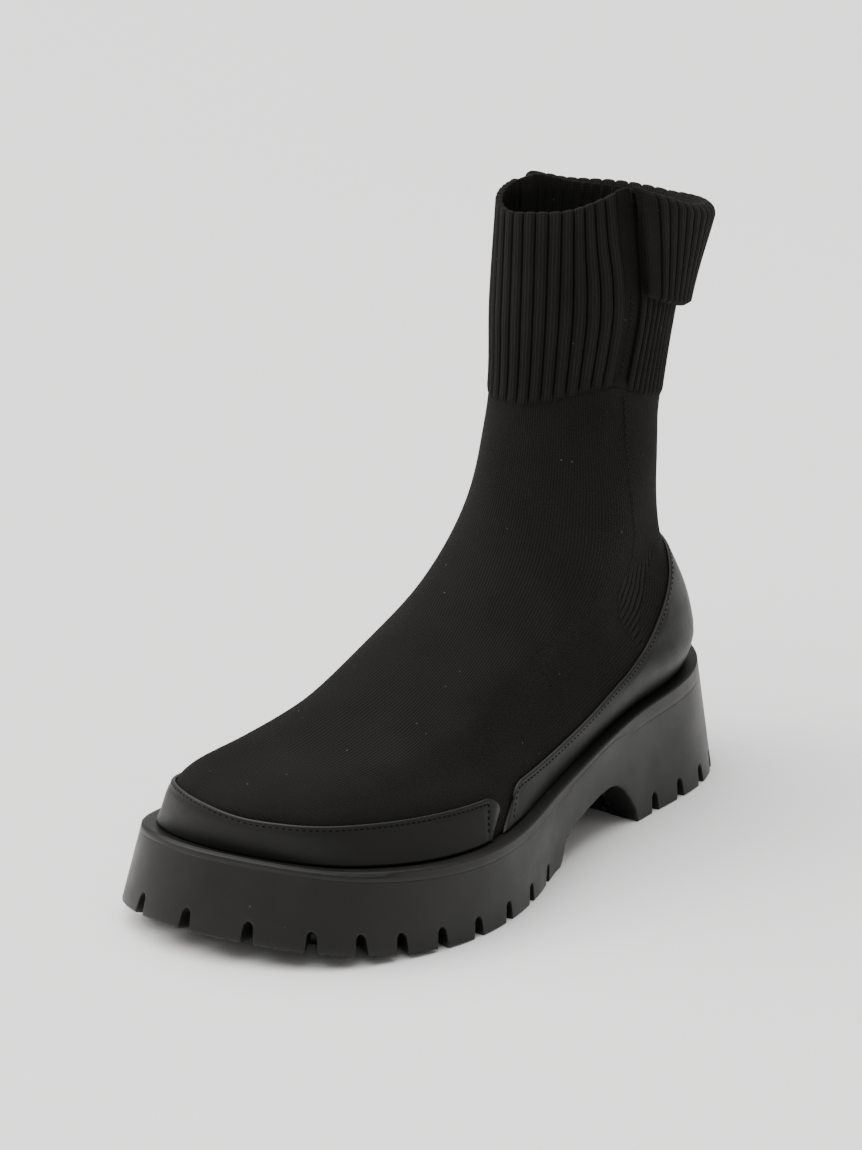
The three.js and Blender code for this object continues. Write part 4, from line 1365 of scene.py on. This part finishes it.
@dataclass
class Studio:
    """Pale floor, soft lights and the camera at the photograph's angle."""

    azimuth: float = 37.0
    elevation: float = 21.0
    distance: float = 2400.0
    focal_pixels: float = 7056.0
    picture: tuple = (862, 1150)
    reference: tuple = (0.0, -130.4, 0.0)
    turned: tuple = (2.8, 275.2)
    sky_power: float = 5.0
    sky_spread: float = 1.5
    sky_tilt: tuple = (0.12, -0.3, 0.0)
    aim: tuple = (0.0, 0.0, 0.1)

    def floor(self) -> None:
        """Lays the floor."""
        g = Graph("pale_floor")
        pale = g.blend(g.noise(2.0, 2.0), (0.86, 0.855, 0.85), (0.9, 0.895, 0.89))
        material = g.finish({"Base Color": pale, "Roughness": 0.75})
        mesh = bpy.data.meshes.new("floor")
        size = 9.0
        corners = [(-size, -size, 0), (size, -size, 0), (size, size, 0), (-size, size, 0)]
        mesh.from_pydata(corners, [], [(0, 1, 2, 3)])
        mesh.materials.append(material)
        floor = bpy.data.objects.new("floor", mesh)
        bpy.context.scene.collection.objects.link(floor)

    def light(self, name: str, place: tuple, size: float, power: float, colour: tuple) -> None:
        """Hangs one square softbox that faces the boot.

        Args:
            name: name of the lamp.
            place: where it hangs, in metres.
            size: side of the box.
            power: watts.
            colour: its tint.
        """
        lamp = bpy.data.lights.new(name, "AREA")
        lamp.shape = "SQUARE"
        lamp.size = size
        lamp.energy = power
        lamp.color = colour
        item = bpy.data.objects.new(name, lamp)
        look = np.array(self.aim) - np.array(place)
        item.location = place
        item.rotation_euler = Vector(look).to_track_quat("-Z", "Y").to_euler()
        bpy.context.scene.collection.objects.link(item)

    def camera(self) -> None:
        """Sets the camera: the photograph's direction and distance, turned to the boot's middle."""
        az, el = np.radians([self.azimuth, self.elevation])
        back = np.array([np.sin(az) * np.cos(el), -np.cos(az) * np.cos(el), np.sin(el)])
        right = np.array([np.cos(az), np.sin(az), 0.0])
        up = np.cross(back, right)
        look = -back * self.focal_pixels + right * self.turned[0] + up * self.turned[1]
        foot = PLACE.metres(np.array(self.reference))
        lens = bpy.data.cameras.new("camera")
        lens.sensor_fit = "VERTICAL"
        lens.sensor_height = 36.0
        lens.lens = 36.0 * self.focal_pixels / self.picture[1]
        item = bpy.data.objects.new("camera", lens)
        item.location = foot + back * self.distance * MM
        item.rotation_euler = Vector(look).to_track_quat("-Z", "Y").to_euler()
        lens.clip_end = 50
        bpy.context.scene.collection.objects.link(item)
        bpy.context.scene.camera = item

    def sky(self) -> None:
        """Hangs the wide overhead diffuser, as a very broad sun."""
        lamp = bpy.data.lights.new("overhead", "SUN")
        lamp.energy = self.sky_power
        lamp.angle = self.sky_spread
        item = bpy.data.objects.new("overhead", lamp)
        item.rotation_euler = self.sky_tilt
        bpy.context.scene.collection.objects.link(item)

    def world(self) -> None:
        """Even pale surroundings."""
        world = bpy.data.worlds.new("studio")
        world.use_nodes = True
        inputs = world.node_tree.nodes["Background"].inputs
        inputs["Color"].default_value = (1.0, 0.99, 0.98, 1)
        inputs["Strength"].default_value = 0.5
        bpy.context.scene.world = world

    def build(self) -> None:
        """Sets the whole stage."""
        self.floor()
        self.world()
        self.camera()
        self.sky()
        self.light("key_left", (-1.6, -1.3, 1.5), 1.4, 22.0, (1.0, 0.97, 0.92))
        self.light("rim_right", (1.7, 1.1, 0.9), 1.2, 3.0, (1.0, 0.96, 0.92))


def main() -> None:
    """Builds the boot piece by piece and ties each piece to the frame."""
    logging.basicConfig(level=logging.INFO, format="%(name)s: %(message)s")
    Studio().build()
    knit = KnitFinish().make()
    leather = FoxingFinish().make()
    rubber = RubberFinish().make()
    thread = ThreadFinish().make()
    pale_thread = ThreadFinish("seam_thread", (0.006, 0.0058, 0.0054), (0.021, 0.0204, 0.0188))
    upper = KnitUpper().build(knit)
    flap = CuffFlap().build(knit)
    foxing = Foxing().build(leather, thread)
    seams = SeamStitching().build(pale_thread.make())
    sole = Outsole().build(rubber)
    insole = Insole().build(knit)
    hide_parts("upper")
    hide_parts("foxing")
    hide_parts("outsole")
    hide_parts("insole")
    slots = {
        "upper_knit": [upper, flap, *seams],
        "foxing_band": foxing,
        "sole_rubber": [sole],
        "insole_cloth": [insole],
    }
    for name, pieces in slots.items():
        for piece in pieces:
            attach(piece, "root")
            log.info("%s: %d faces", piece.name, len(piece.data.polygons))


if __name__ == "__main__":
    main()
